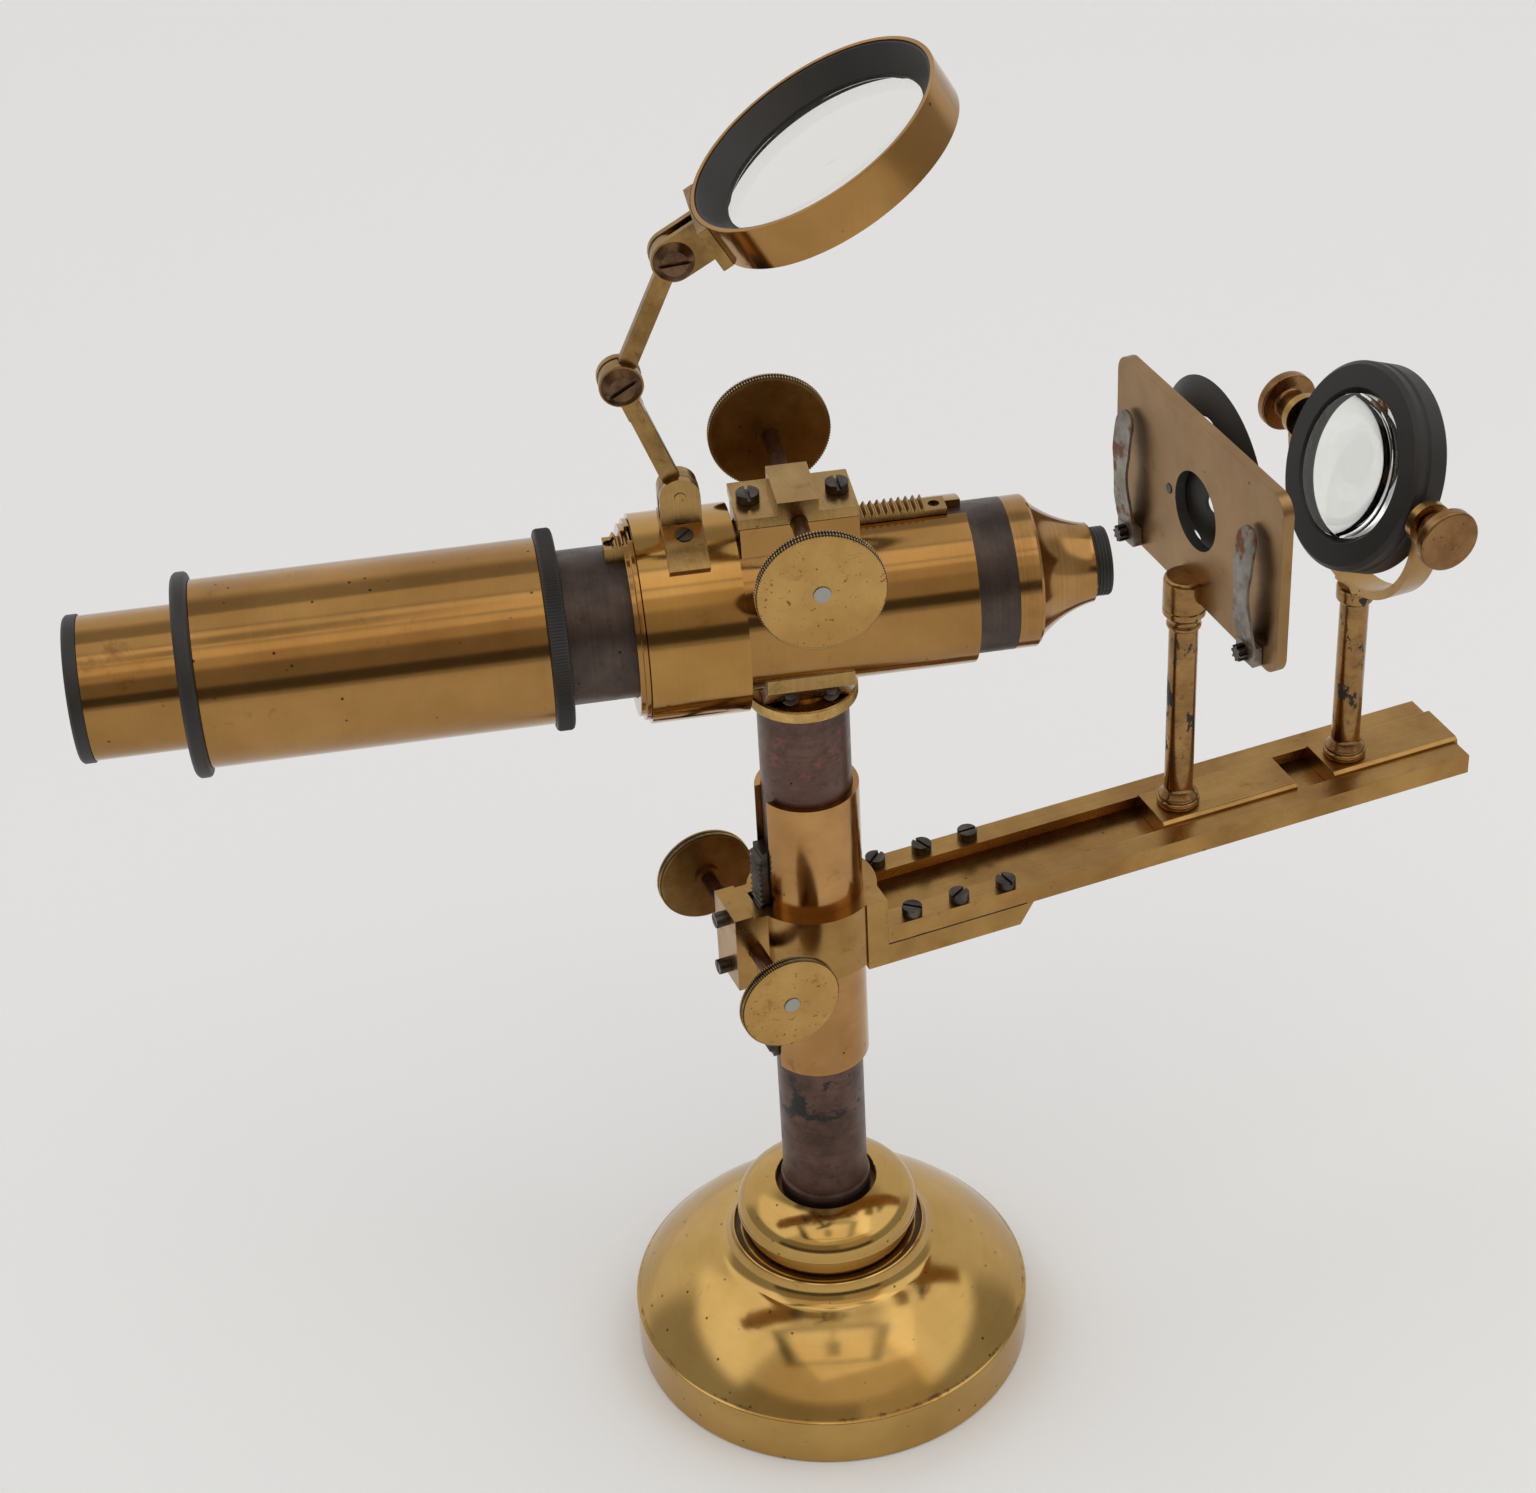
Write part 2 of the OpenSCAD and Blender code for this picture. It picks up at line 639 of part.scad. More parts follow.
// Brass sleeve that slides on the pillar, slotted for the rack
module guide_sleeve() {
    color(copper_brass) difference() {
        translate([0, 0, sleeve_z0]) cylinder(h = sleeve_z1 - sleeve_z0, r = sleeve_r, $fn = round_fn);
        translate([0, 0, sleeve_z0 - 1])
            cylinder(h = sleeve_z1 - sleeve_z0 + 2, r = pillar_r + run_gap, $fn = round_fn);
        translate([-sleeve_r - 1, -slot_w / 2, sleeve_z0 - 1])
            cube([sleeve_r, slot_w, sleeve_z1 - sleeve_z0 + 2]);
    }
}

// Casting that grips the sleeve: collar, pinion seat and the arm under the rail
module bracket() {
    block_x0 = 10;
    color(brass) difference() {
        union() {
            translate([0, 0, collar_z0]) cylinder(h = collar_z1 - collar_z0, r = collar_r, $fn = round_fn);
            translate([low_pinion_x, -cap_w / 2, low_pinion_z - cap_h / 2 + 1])
                cube([-low_pinion_x, cap_w, collar_z1 - low_pinion_z + cap_h / 2 - 1]);
            translate([0, rail_half, 0]) rotate([90, 0, 0]) linear_extrude(2 * rail_half) polygon([
                [block_x0, arm_z0], [arm_x1 - arm_tip, arm_z0], [arm_x1, rail_z0],
                [rail_x0 - seat_gap, rail_z0], [rail_x0 - seat_gap, collar_z1], [block_x0, collar_z1]
            ]);
        }
        translate([0, 0, arm_z0 - 1])
            cylinder(h = collar_z1 - arm_z0 + 2, r = sleeve_r + seat_gap, $fn = round_fn);
        translate([rail_x0 - seat_gap, -rail_half - 1, rail_z0 - seat_gap])
            cube([rail_x1 - rail_x0, 2 * rail_half + 2, rail_h + 2]);
        translate([low_pinion_x + pinion_pitch_r - addendum - 1, -slot_w / 2, arm_z0 - 1])
            cube([6, slot_w, collar_z1 - arm_z0 + 2]);
        translate([low_pinion_x, 0, low_pinion_z]) rod_y(-slot_w / 2, slot_w / 2, pinion_room);
        translate([low_pinion_x, 0, low_pinion_z]) rod_y(-cap_w, cap_w, shaft_r + run_gap);
        for (s = [-1, 1]) translate([low_pinion_x, 0, low_pinion_z + s * cap_screw_dz])
            rod_x(-1, cap_screw_hold + 1, 1.2 + seat_gap, small_fn);
        for (i = [0:2], s = [-1, 1])
            translate([rail_screw_x + i * rail_screw_pitch, s * rail_screw_y, rail_z0 - 4.3])
                cylinder(h = 6, r = 1.4 + seat_gap, $fn = small_fn);
    }
}

// Cap that closes the lower pinion against the bracket
module pinion_cap() {
    color(brass) difference() {
        translate([low_pinion_x - seat_gap - cap_t, -cap_w / 2, low_pinion_z - cap_h / 2])
            cube([cap_t, cap_w, cap_h]);
        translate([low_pinion_x, 0, low_pinion_z]) {
            rod_y(-slot_w / 2, slot_w / 2, pinion_room);
            rod_y(-cap_w, cap_w, shaft_r + run_gap);
            for (s = [-1, 1]) translate([0, 0, s * cap_screw_dz])
                rod_x(-cap_t - 2, 1, 1.2 + seat_gap, small_fn);
        }
    }
}

module pinion_cap_screws() {
    color(steel) for (s = [-1, 1])
        translate([low_pinion_x - seat_gap - cap_t, 0, low_pinion_z + s * cap_screw_dz])
        rotate([0, -90, 0]) slotted_screw(2.2, cap_head_h, 1.2, cap_t + cap_screw_hold, 35 + 30 * s);
}

// Long rail with an open dovetail groove along its top
module rail() {
    color(brass) difference() {
        translate([rail_x0, -rail_half, rail_z0]) cube([rail_x1 - rail_x0, 2 * rail_half, rail_h]);
        translate([rail_x0 - 1, 0, 0]) rotate([90, 0, 90]) linear_extrude(rail_x1 - rail_x0 + 2) polygon([
            [-mouth_half - dovetail_dx, dovetail_z0], [mouth_half + dovetail_dx, dovetail_z0],
            [mouth_half, rail_z1 + 0.01], [-mouth_half, rail_z1 + 0.01]
        ]);
        for (i = [0:2], s = [-1, 1])
            translate([rail_screw_x + i * rail_screw_pitch, s * rail_screw_y, rail_z0 - 1])
                cylinder(h = rail_h + 2, r = 1.4 + seat_gap, $fn = small_fn);
    }
}

module rail_screws() {
    color(steel) for (i = [0:2], s = [-1, 1])
        translate([rail_screw_x + i * rail_screw_pitch, s * rail_screw_y, rail_z1 + seat_gap])
        slotted_screw(rail_head_r, rail_head_h, 1.4, rail_h + 3.8, 70 * i + 40 * s);
}

// Steel shaft with the pinion cut in its middle
module low_shaft() {
    color(steel) translate([low_pinion_x, 0, low_pinion_z])
        pinion_shaft(low_knob_y + 0.6, low_knob_y + 0.6, rack_w / 2) pinion_outline();
}

module low_knobs() {
    color(brass) translate([low_pinion_x, 0, low_pinion_z])
        for (s = [0, 180]) rotate([0, 0, s]) pinion_knob(low_knob_r, low_knob_y);
}

// Knurled disc under the head, dished on top
module head_disc() {
    color(brass) difference() {
        translate([0, 0, disc_z0]) cylinder(h = disc_t, r = disc_r, $fn = round_fn);
        translate([0, 0, disc_z0 - 1]) cylinder(h = disc_t + 2, r = pivot_r + run_gap, $fn = small_fn);
        translate([0, 0, disc_z1 - 0.7]) difference() {
            cylinder(h = 2, r = disc_r - 1.4, $fn = round_fn);
            translate([0, 0, -1]) cylinder(h = 4, r = saddle_foot, $fn = round_fn);
        }
    }
}

// Cradle that carries the body tube on the disc
module saddle() {
    z0 = disc_z1 + seat_gap - axis_z;
    side_z = -pow(pow(body_r, 2) - pow(saddle_half, 2), 0.5);
    color(brass) in_head() difference() {
        translate([-saddle_len / 2, 0, 0]) rotate([90, 0, 90]) linear_extrude(saddle_len) polygon([
            [-saddle_foot, z0], [saddle_foot, z0], [saddle_half, side_z - 4.3], [saddle_half, side_z],
            [-saddle_half, side_z], [-saddle_half, side_z - 4.3]
        ]);
        rod_x(-saddle_len, saddle_len, body_r + seat_gap);
        translate([0, 0, z0 - 1])
            cylinder(h = pivot_top_z - disc_z1 + 1.4, r = pivot_r + run_gap, $fn = small_fn);
        saddle_screw_places() translate([0, 0, -3]) cylinder(h = 5, r = 1.5 + seat_gap, $fn = small_fn);
        saddle_screw_places() cylinder(h = 5, r = 2.5 + seat_gap, $fn = small_fn);
    }
}

// The four places on the sloping sides of the saddle, Z pointing out of the face
module saddle_screw_places() {
    z0 = disc_z1 + seat_gap - axis_z;
    side_z = -pow(pow(body_r, 2) - pow(saddle_half, 2), 0.5) - 4.3;
    slope = atan2(side_z - z0, saddle_half - saddle_foot);
    for (s = [-1, 1], x = [-5.4, 5.4])
        translate([x, s * (saddle_half * 0.6 + saddle_foot * 0.4), side_z * 0.6 + z0 * 0.4])
        rotate([s * (90 + slope), 0, 0]) mirror([0, 0, 1]) rotate([180, 0, 0]) translate([0, 0, -0.8])
            children();
}

module saddle_screws() {
    color(steel) in_head() saddle_screw_places() slotted_screw(2.5, 0.8, 1.5, 2.8, 25);
}

// Brass body with the wide bearing of the collar, the pinion seat and the rack slot
module body_tube() {
    slot_half = up_rack_w / 2 + pass_gap;
    color(brass) in_head() difference() {
        union() {
            rod_x(bearing_x0, body_x1, body_r);
            rod_x(bearing_x0, ring_collar_x1 + 0.1, bearing_r);
            translate([-seat_len / 2 + 0.4, -seat_w / 2, 0]) cube([seat_len - 0.4, seat_w, up_shaft_h]);
        }
        rod_x(body_x0 - 1, body_x1 + 1, tube_r + run_gap);
        translate([body_x0 - 1, -slot_half, 0])
            cube([body_x1 - body_x0 + 2, 2 * slot_half, up_pitch_h + addendum + pass_gap]);
        translate([0, 0, up_shaft_h]) {
            rod_y(-slot_half, slot_half, pinion_room);
            rod_y(-seat_w, seat_w, shaft_r + run_gap);
            for (s = [-1, 1]) translate([s * plate_screw_dx, 0, -2.6])
                cylinder(h = 4, r = 1.4 + seat_gap, $fn = small_fn);
        }
    }
}

// Stepped ring that keeps the magnifier collar on its bearing
module body_end_ring() {
    slot_half = up_rack_w / 2 + pass_gap;
    color(copper_brass) in_head() difference() {
        union() {
            rod_x(body_x0 + end_ring_t / 2, bearing_x0 - seat_gap, bearing_r + 0.6);
            rod_x(body_x0, bearing_x0 - seat_gap, bearing_r - 0.6);
        }
        rod_x(body_x0 - 1, body_x1, tube_r + pass_gap);
        translate([body_x0 - 1, -slot_half, 0]) cube([10, 2 * slot_half, bearing_r + 2]);
    }
}

// Plate with a raised block that closes the focusing pinion
module pinion_plate() {
    color(brass) in_head() translate([0, 0, up_shaft_h + seat_gap]) difference() {
        union() {
            translate([-seat_len / 2, -seat_w / 2, 0]) cube([seat_len, seat_w, seat_plate_t]);
            translate([-block_len / 2, -seat_w / 2, 0]) cube([block_len, seat_w, seat_plate_t + block_h]);
        }
        rod_y(-up_rack_w / 2 - pass_gap, up_rack_w / 2 + pass_gap, pinion_room);
        rod_y(-seat_w, seat_w, shaft_r + run_gap);
        for (s = [-1, 1]) translate([s * plate_screw_dx, 0, -1])
            cylinder(h = seat_plate_t + 2, r = 1.4 + seat_gap, $fn = small_fn);
    }
}

module pinion_plate_screws() {
    color(steel) in_head() for (s = [-1, 1])
        translate([s * plate_screw_dx, 0, up_shaft_h + seat_plate_t + 2 * seat_gap])
        slotted_screw(3.1, 2.6, 1.4, seat_plate_t + 2.2, 90);
}

module up_shaft() {
    color(steel) in_head() translate([0, 0, up_shaft_h])
        pinion_shaft(up_knob_y + 0.6, up_far_knob_y + 0.6, up_rack_w / 2) rotate([0, 0, 90]) pinion_outline();
}

module up_knobs() {
    color(brass) in_head() translate([0, 0, up_shaft_h]) {
        rotate([0, 0, 180]) pinion_knob(up_knob_r, up_knob_y);
        pinion_knob(up_knob_r, up_far_knob_y);
    }
}

// Dark tube that slides in the body
module focus_tube() {
    color(dark_bronze) in_head() tube_x(tube_x0, tube_x1, tube_r, tube_bore);
}

// Rack along the top of the dark tube
module focus_rack() {
    color(brass) in_head() difference() {
        translate([0, up_rack_w / 2, up_pitch_h]) rotate([90, 0, 0]) linear_extrude(up_rack_w)
            rack_outline(up_rack_x0, up_rack_x1, up_pitch_h - tube_r + 1);
        rod_x(up_rack_x0 - 1, up_rack_x1 + 1, tube_r + seat_gap);
        for (x = [up_rack_x0 + 1.6, up_rack_x1 - 3]) translate([x, 0, tube_r]) {
            translate([0, 0, 1.8]) cylinder(h = 9, r = 1.5 + seat_gap, $fn = small_fn);
            cylinder(h = 9, r = 0.9 + seat_gap, $fn = small_fn);
        }
        translate([up_rack_x1 - 6, -up_rack_w, up_pitch_h - dedendum]) cube([8, 2 * up_rack_w, 3]);
    }
}

module focus_rack_screws() {
    color(steel) in_head() for (x = [up_rack_x0 + 1.6, up_rack_x1 - 3])
        translate([x, 0, tube_r + 1.8 + seat_gap]) slotted_screw(1.5, 1.1, 0.9, 1.7 , 90);
}

// Brass draw sleeve on the left of the dark tube
module draw_sleeve() {
    color(copper_brass) in_head() tube_x(draw_x0, draw_x1 - seat_gap, draw_r, draw_bore);
}

// Black knurled ring that joins the draw sleeve to the dark tube
module sleeve_ring() {
    edge = 0.9;
    color(black) in_head() rotate([0, 90, 0]) rotate_extrude($fn = round_fn) polygon([
        [tube_r + seat_gap, draw_x1 - 5], [draw_bore - seat_gap, draw_x1 - 5],
        [draw_bore - seat_gap, draw_x1],
        [knurl_r - edge, draw_x1], [knurl_r, draw_x1 + edge], [knurl_r, sleeve_ring_x1 - edge],
        [knurl_r - edge, sleeve_ring_x1], [tube_r + seat_gap, sleeve_ring_x1]
    ]);
}

// Black flange that holds the eyepiece in the draw sleeve
module eye_flange() {
    x0 = draw_x0 - flange_len;
    edge = 1;
    color(black) in_head() rotate([0, 90, 0]) rotate_extrude($fn = round_fn) polygon([
        [eye_r + run_gap, x0], [flange_r - 2.4, x0], [flange_r, x0 + edge],
        [flange_r, draw_x0 - edge - seat_gap],
        [flange_r - edge, draw_x0 - seat_gap], [draw_bore - seat_gap, draw_x0 - seat_gap],
        [draw_bore - seat_gap, draw_x0 + 9], [eye_r + run_gap, draw_x0 + 9]
    ]);
}

// Brass ring and hollow cone of the nose
module nose_cone() {
    hollow_r = (pow(cone_len, 2) + pow(tube_r - 1.2 - cone_r, 2)) / (2 * (tube_r - 1.2 - cone_r)) ;
    color(brass) in_head() difference() {
        rotate([0, 90, 0]) rotate_extrude($fn = round_fn) difference() {
            union() {
                polygon([[0, tube_x1], [tube_r, tube_x1], [tube_r, nose_x1 - 0.8], [tube_r - 0.4, nose_x1],
                    [0, nose_x1]]);
                polygon([[0, nose_x1], [tube_r - 1.2, nose_x1], [cone_r, cone_x1], [0, cone_x1]]);
                translate([0, tube_x1 - 6]) square([tube_bore - seat_gap, 6.1]);
            }
            translate([cone_r + 12, cone_x1 + 3.4]) circle(r = 14.6, $fn = 180);
        }
        rod_x(tube_x1 - 7, cone_x1 - 4, tip_r - 1.5);
        rod_x(tube_x1 - 7, nose_x1, tube_bore - 2);
        rod_x(cone_x1 - 8, cone_x1 + 2, tip_r - 0.7 + seat_gap);
    }
}

// Black ribbed tip with the front lens
module objective_tip() {
    rib = 0.25;
    ribs = 5;
    step = tip_len / ribs;
    color(black) in_head() rotate([0, 90, 0]) rotate_extrude($fn = round_fn) polygon(concat(
        [[3.2, cone_x1 - 7], [tip_r - 0.7, cone_x1 - 7], [tip_r - 0.7, cone_x1 + seat_gap]],
        [for (i = [0:ribs - 1]) each [[tip_r, cone_x1 + seat_gap + i * step],
            [tip_r, cone_x1 + (i + 0.5) * step],
            [tip_r - rib, cone_x1 + (i + 0.6) * step], [tip_r - rib, cone_x1 + (i + 0.95) * step]]],
        [[tip_r - 1.4, tip_x1], [4.2, tip_x1], [4.2, tip_x1 - 3], [3.2, tip_x1 - 3]]
    ));
}

module objective_lens() {
    color(glass) in_head() lens_x(tip_x1 - 3 + seat_gap, tip_x1 - 0.6, 4.2 - seat_gap, 0.6);
}

// Brass tube of the eyepiece, which slides in the flange
module eye_tube() {
    color(copper_brass) in_head() tube_x(eye_x0, eye_x1, eye_r, eye_r - 1.2);
}

// Black cap of the eyepiece with its eye hole
module eye_cap() {
    bore = eye_r - 1.2 - seat_gap;
    edge = 0.8;
    color(black) in_head() rotate([0, 90, 0]) rotate_extrude($fn = round_fn) polygon([
        [5.5, eye_x0 - cap_len + 1], [8, eye_x0 - cap_len], [cap_r - edge, eye_x0 - cap_len],
        [cap_r, eye_x0 - cap_len + edge], [cap_r, eye_x0 - seat_gap], [bore, eye_x0 - seat_gap],
        [bore, eye_x0 + 5], [12 + seat_gap, eye_x0 + 5], [12 + seat_gap, eye_x0], [5.5, eye_x0]
    ]);
}

// A lens with two round faces along X between two planes
module lens_x(x0, x1, r, bulge) {
    ball = (r * r + bulge * bulge) / (2 * bulge);
    rotate([0, 90, 0]) rotate_extrude($fn = round_fn) intersection() {
        translate([0, x0]) square([r, x1 - x0]);
        translate([0, x0 + ball]) circle(r = ball, $fn = 360);
        translate([0, x1 - ball]) circle(r = ball, $fn = 360);
    }
}

module eye_lens() {
    color(glass) in_head() lens_x(eye_x0 + 0.3, eye_x0 + 4.6, 12, 1.2);
}

module field_lens() {
    color(glass) in_head() lens_x(eye_x1 - 6, eye_x1 - 0.6, eye_r - 1.2 - seat_gap, 1.8);
}

// Wide brass collar that turns on the body and carries the magnifier
module loupe_collar() {
    color(brass) in_head() difference() {
        tube_x(ring_collar_x0, ring_collar_x1, ring_collar_r, bearing_r + run_gap);
        translate([lug_x, 0, 0]) rotate([14.5, 0, 0]) translate([0, 0, ring_collar_r - 1.2])
            cylinder(h = 4, r = 1.3 + seat_gap, $fn = small_fn);
    }
}

// Curved plate on the collar with the forked lug
module loupe_bracket() {
    plate_t2 = 1.5;
    r0 = ring_collar_r + seat_gap;
    color(brass) in_head() difference() {
        union() {
            intersection() {
                tube_x(lug_x - lug_w / 2, lug_x + lug_w / 2, r0 + plate_t2, r0);
                rotate([8, 0, 0]) rotate([90, 0, 90]) translate([0, 0, lug_x - lug_w])
                    linear_extrude(2 * lug_w) polygon([
                        [0, 0], [60 * sin(-28), 60 * cos(28)], [0, 80], [60 * sin(24), 60 * cos(24)]
                    ]);
            }
            for (s = [-1, 1]) translate([0, s * (cheek_y0 + cheek_t / 2), 0]) difference() {
                union() {
                    translate([lug_x, 0, lug_h]) rod_y(-cheek_t / 2, cheek_t / 2, lug_w / 2);
                    translate([lug_x - lug_w / 2, -cheek_t / 2, r0 - 1])
                        cube([lug_w, cheek_t, lug_h - r0 + 1]);
                }
                rod_x(lug_x - lug_w, lug_x + lug_w, r0);
            }
            translate([lug_x, 0, lug_h]) rod_y(-cheek_y1 - 0.4, cheek_y1 + 0.4, pin_r);
        }
        translate([lug_x, 0, 0]) rotate([14.5, 0, 0]) translate([0, 0, ring_collar_r - 1])
            cylinder(h = 6, r = 1.3 + seat_gap, $fn = small_fn);
        translate([lug_x, 0, 0]) rotate([14.5, 0, 0]) translate([0, 0, r0 + plate_t2 - 0.7])
            cylinder(h = 6, r = 2.4 + seat_gap, $fn = small_fn);
    }
}

module loupe_bracket_screw() {
    color(steel) in_head() translate([lug_x, 0, 0]) rotate([14.5, 0, 0])
        translate([0, 0, ring_collar_r + 0.95 + 2 * seat_gap]) slotted_screw(2.4, 0.9, 1.3, 1.7, 40);
}

// A flat bar from the origin up Z with a round eye at its foot
module link_bar(length) {
    rod_y(-link_t / 2, link_t / 2, joint_r - 0.3);
    translate([-link_w / 2, -link_t / 2, 0]) cube([link_w, link_t, length]);
}

// Two round cheeks around the origin, joined to a bar that comes up Z from below
module link_fork() {
    for (s = [-1, 1]) translate([0, s * (cheek_y0 + cheek_t / 2), 0]) {
        rod_y(-cheek_t / 2, cheek_t / 2, joint_r);
        translate([-link_w / 2, -cheek_t / 2, -joint_r - 3.4]) cube([link_w, cheek_t, joint_r + 3.4]);
    }
    translate([-link_w / 2, -cheek_y1, -joint_r - 4.4]) cube([link_w, 2 * cheek_y1, 3]);
}

module link_lower() {
    color(brass) in_head() translate([lug_x, 0, lug_h]) rotate([0, -link_low_deg, 0]) difference() {
        union() {
            link_bar(link_len - joint_r - 3);
            translate([0, 0, link_len]) link_fork();
        }
        rod_y(-link_t, link_t, pin_r + run_gap);
        translate([0, 0, link_len]) rod_y(-10, 10, pin_r + seat_gap);
    }
}

// Conical slotted screw through a joint, its head on the near side
module joint_screw() {
    color(dark_bronze) {
        rod_y(-cheek_y1 - 0.1, cheek_y1 + 0.6, pin_r);
        difference() {
            translate([0, -cheek_y1 - seat_gap, 0]) rotate([90, 0, 0])
                cylinder(h = screw_head_t, r1 = joint_r - 0.4, r2 = joint_r - 2.4, $fn = small_fn);
            rotate([0, -30, 0]) translate([-joint_r, -cheek_y1 - 3, -0.55]) cube([2 * joint_r, 2.4, 1.1]);
        }
    }
}

module elbow_screw() {
    in_head() translate([elbow[0], 0, elbow[1]]) joint_screw();
}

module link_upper() {
    color(brass) in_head() translate([elbow[0], 0, elbow[1]]) rotate([0, link_up_deg, 0]) difference() {
        union() {
            link_bar(link_len);
            translate([0, 0, link_len]) rod_y(-link_t / 2, link_t / 2, joint_r - 0.3);
        }
        for (z = [0, link_len]) translate([0, 0, z]) rod_y(-link_t, link_t, pin_r + run_gap);
    }
}

// The frame of the magnifier: X from the last joint through the ring, Z up its axis
module in_lens() {
    in_head() translate([top_joint[0], 0, top_joint[1]]) rotate([0, -lens_tilt, 0]) children();
}

// Forked block with the pad that is fixed to the ring
module loupe_holder() {
    pad_t = 0.6;
    pad_x0 = lens_reach - pad_t;
    color(brass) in_lens() difference() {
        union() {
            for (s = [-1, 1]) translate([0, s * (cheek_y0 + cheek_t / 2), 0]) {
                rod_y(-cheek_t / 2, cheek_t / 2, joint_r);
                translate([0, -cheek_t / 2, -joint_r]) cube([pad_x0 + 0.5, cheek_t, 2 * joint_r]);
            }
            translate([pad_x0, -lens_pad_half, lens_z0]) cube([pad_t + 3, 2 * lens_pad_half, lens_ring_h]);
        }
        rod_y(-20, 20, pin_r + seat_gap);
        translate([lens_c, 0, lens_z0 - 1])
            cylinder(h = lens_ring_h + 2, r = lens_ring_r + seat_gap, $fn = round_fn);
    }
}

module top_screw() {
    in_lens() rotate([0, 55, 0]) joint_screw();
}

// Thin brass ring of the magnifier
module loupe_ring() {
    color(brass) in_lens() translate([lens_c, 0, lens_z0]) difference() {
        cylinder(h = lens_ring_h, r = lens_ring_r, $fn = round_fn);
        translate([0, 0, -1]) cylinder(h = lens_ring_h + 2, r = lens_ring_r - lens_ring_wall, $fn = round_fn);
    }
}

// Black inner rings that hold the glass in the brass ring
module loupe_cell() {
    r = lens_ring_r - lens_ring_wall - seat_gap;
    open_r = 27.8;
    glass_bore = r - 2.2;
    color(black) in_lens() translate([lens_c, 0, 0]) rotate_extrude($fn = round_fn) polygon([
        [open_r, lens_seat_z], [r - 0.6, lens_z1 - 0.4], [r, lens_z1 - 0.4], [r, lens_z0 + 0.3],
        [glass_bore, lens_z0 + 0.3], [glass_bore, lens_seat_z - 1], [open_r, lens_seat_z - 1]
    ]);
}

// Thick magnifying glass
module loupe_lens() {
    r = lens_ring_r - lens_ring_wall - 2.2 - 2 * seat_gap;
    z1 = lens_seat_z - 1 - seat_gap;
    rim = 1.8;
    bulge = 3;
    ball = (r * r + bulge * bulge) / (2 * bulge);
    clear_r = 27.8 - 0.6;
    color(glass) in_lens() translate([lens_c, 0, 0]) rotate_extrude($fn = round_fn) {
        translate([0, z1 - rim]) square([r, rim]);
        intersection() {
            translate([0, z1 - 0.1]) square([clear_r, 8]);
            translate([0, z1 + bulge - ball - 0.5]) circle(r = ball, $fn = 360);
        }
        intersection() {
            translate([0, z1 - rim - 8]) square([r, 8.1]);
            translate([0, z1 - rim - bulge + ball]) circle(r = ball, $fn = 360);
        }
    }
}

// A slider in the dovetail: X from the post, with bevelled top edges
module rail_slider(x, before, after) {
    bevel = 0.8;
    floor_half = mouth_half + dovetail_dx - run_gap - 0.1;
    color(brass) difference() {
        translate([x - before, 0, 0]) rotate([90, 0, 90]) linear_extrude(before + after) polygon([
            [-floor_half, dovetail_z0 + run_gap], [floor_half, dovetail_z0 + run_gap],
            [mouth_half - run_gap - 0.06, rail_z1], [mouth_half - run_gap - 0.06, slider_z1 - bevel],
            [slider_half, slider_z1], [-slider_half, slider_z1],
            [-(mouth_half - run_gap - 0.06), slider_z1 - bevel], [-(mouth_half - run_gap - 0.06), rail_z1]
        ]);
        translate([x, 0, slider_z1 - 4]) cylinder(h = 6, r = 2.6 + seat_gap, $fn = small_fn);
    }
}

// A turned post: spigot, foot moulding and shaft up to the height top_z
module rail_post(top_z) {
    z0 = slider_z1 + seat_gap;
    translate([0, 0, z0 - 3.8]) cylinder(h = 5, r = 2.6, $fn = small_fn);
    translate([0, 0, z0]) rotate_extrude($fn = round_fn) polygon([
        [0, 0], [post_foot_r - 0.4, 0], [post_foot_r, 0.5], [post_foot_r, 1.6], [post_foot_r - 0.5, 2.1],
        [post_foot_r - 0.4, 3], [post_foot_r - 0.8, 3.8], [post_r + 0.5, post_foot_h - 0.6],
        [post_r, post_foot_h + 1], [post_r, top_z - z0], [0, top_z - z0]
    ]);
}

module stage_slider() {
    rail_slider(stage_x, stage_slider_x0, stage_slider_x1);
}

// Post of the stage, its round head cut flat for the plate
module stage_post() {
    head_r = post_foot_r;
    head_z0 = stage_post_z - stage_head_h;
    color(copper_brass) difference() {
        translate([stage_x, 0, 0]) union() {
            rail_post(head_z0);
            translate([0, 0, head_z0 - 5]) rotate_extrude($fn = round_fn) polygon([
                [0, 0], [post_r, 0], [post_r + 0.7, 0.6], [post_r + 0.7, 1.6], [post_r + 0.2, 2.2],
                [post_r + 0.4, 3.4], [head_r, 5], [head_r, 6.6], [head_r - 0.3, 6.9], [head_r, 7.2],
                [head_r, stage_head_h + 3], [head_r - 1.2, stage_head_h + 4.4], [0, stage_head_h + 5]
            ]);
        }
        translate([plate_x0, -20, plate_z0 - seat_gap]) cube([20, 40, 40]);
    }
}

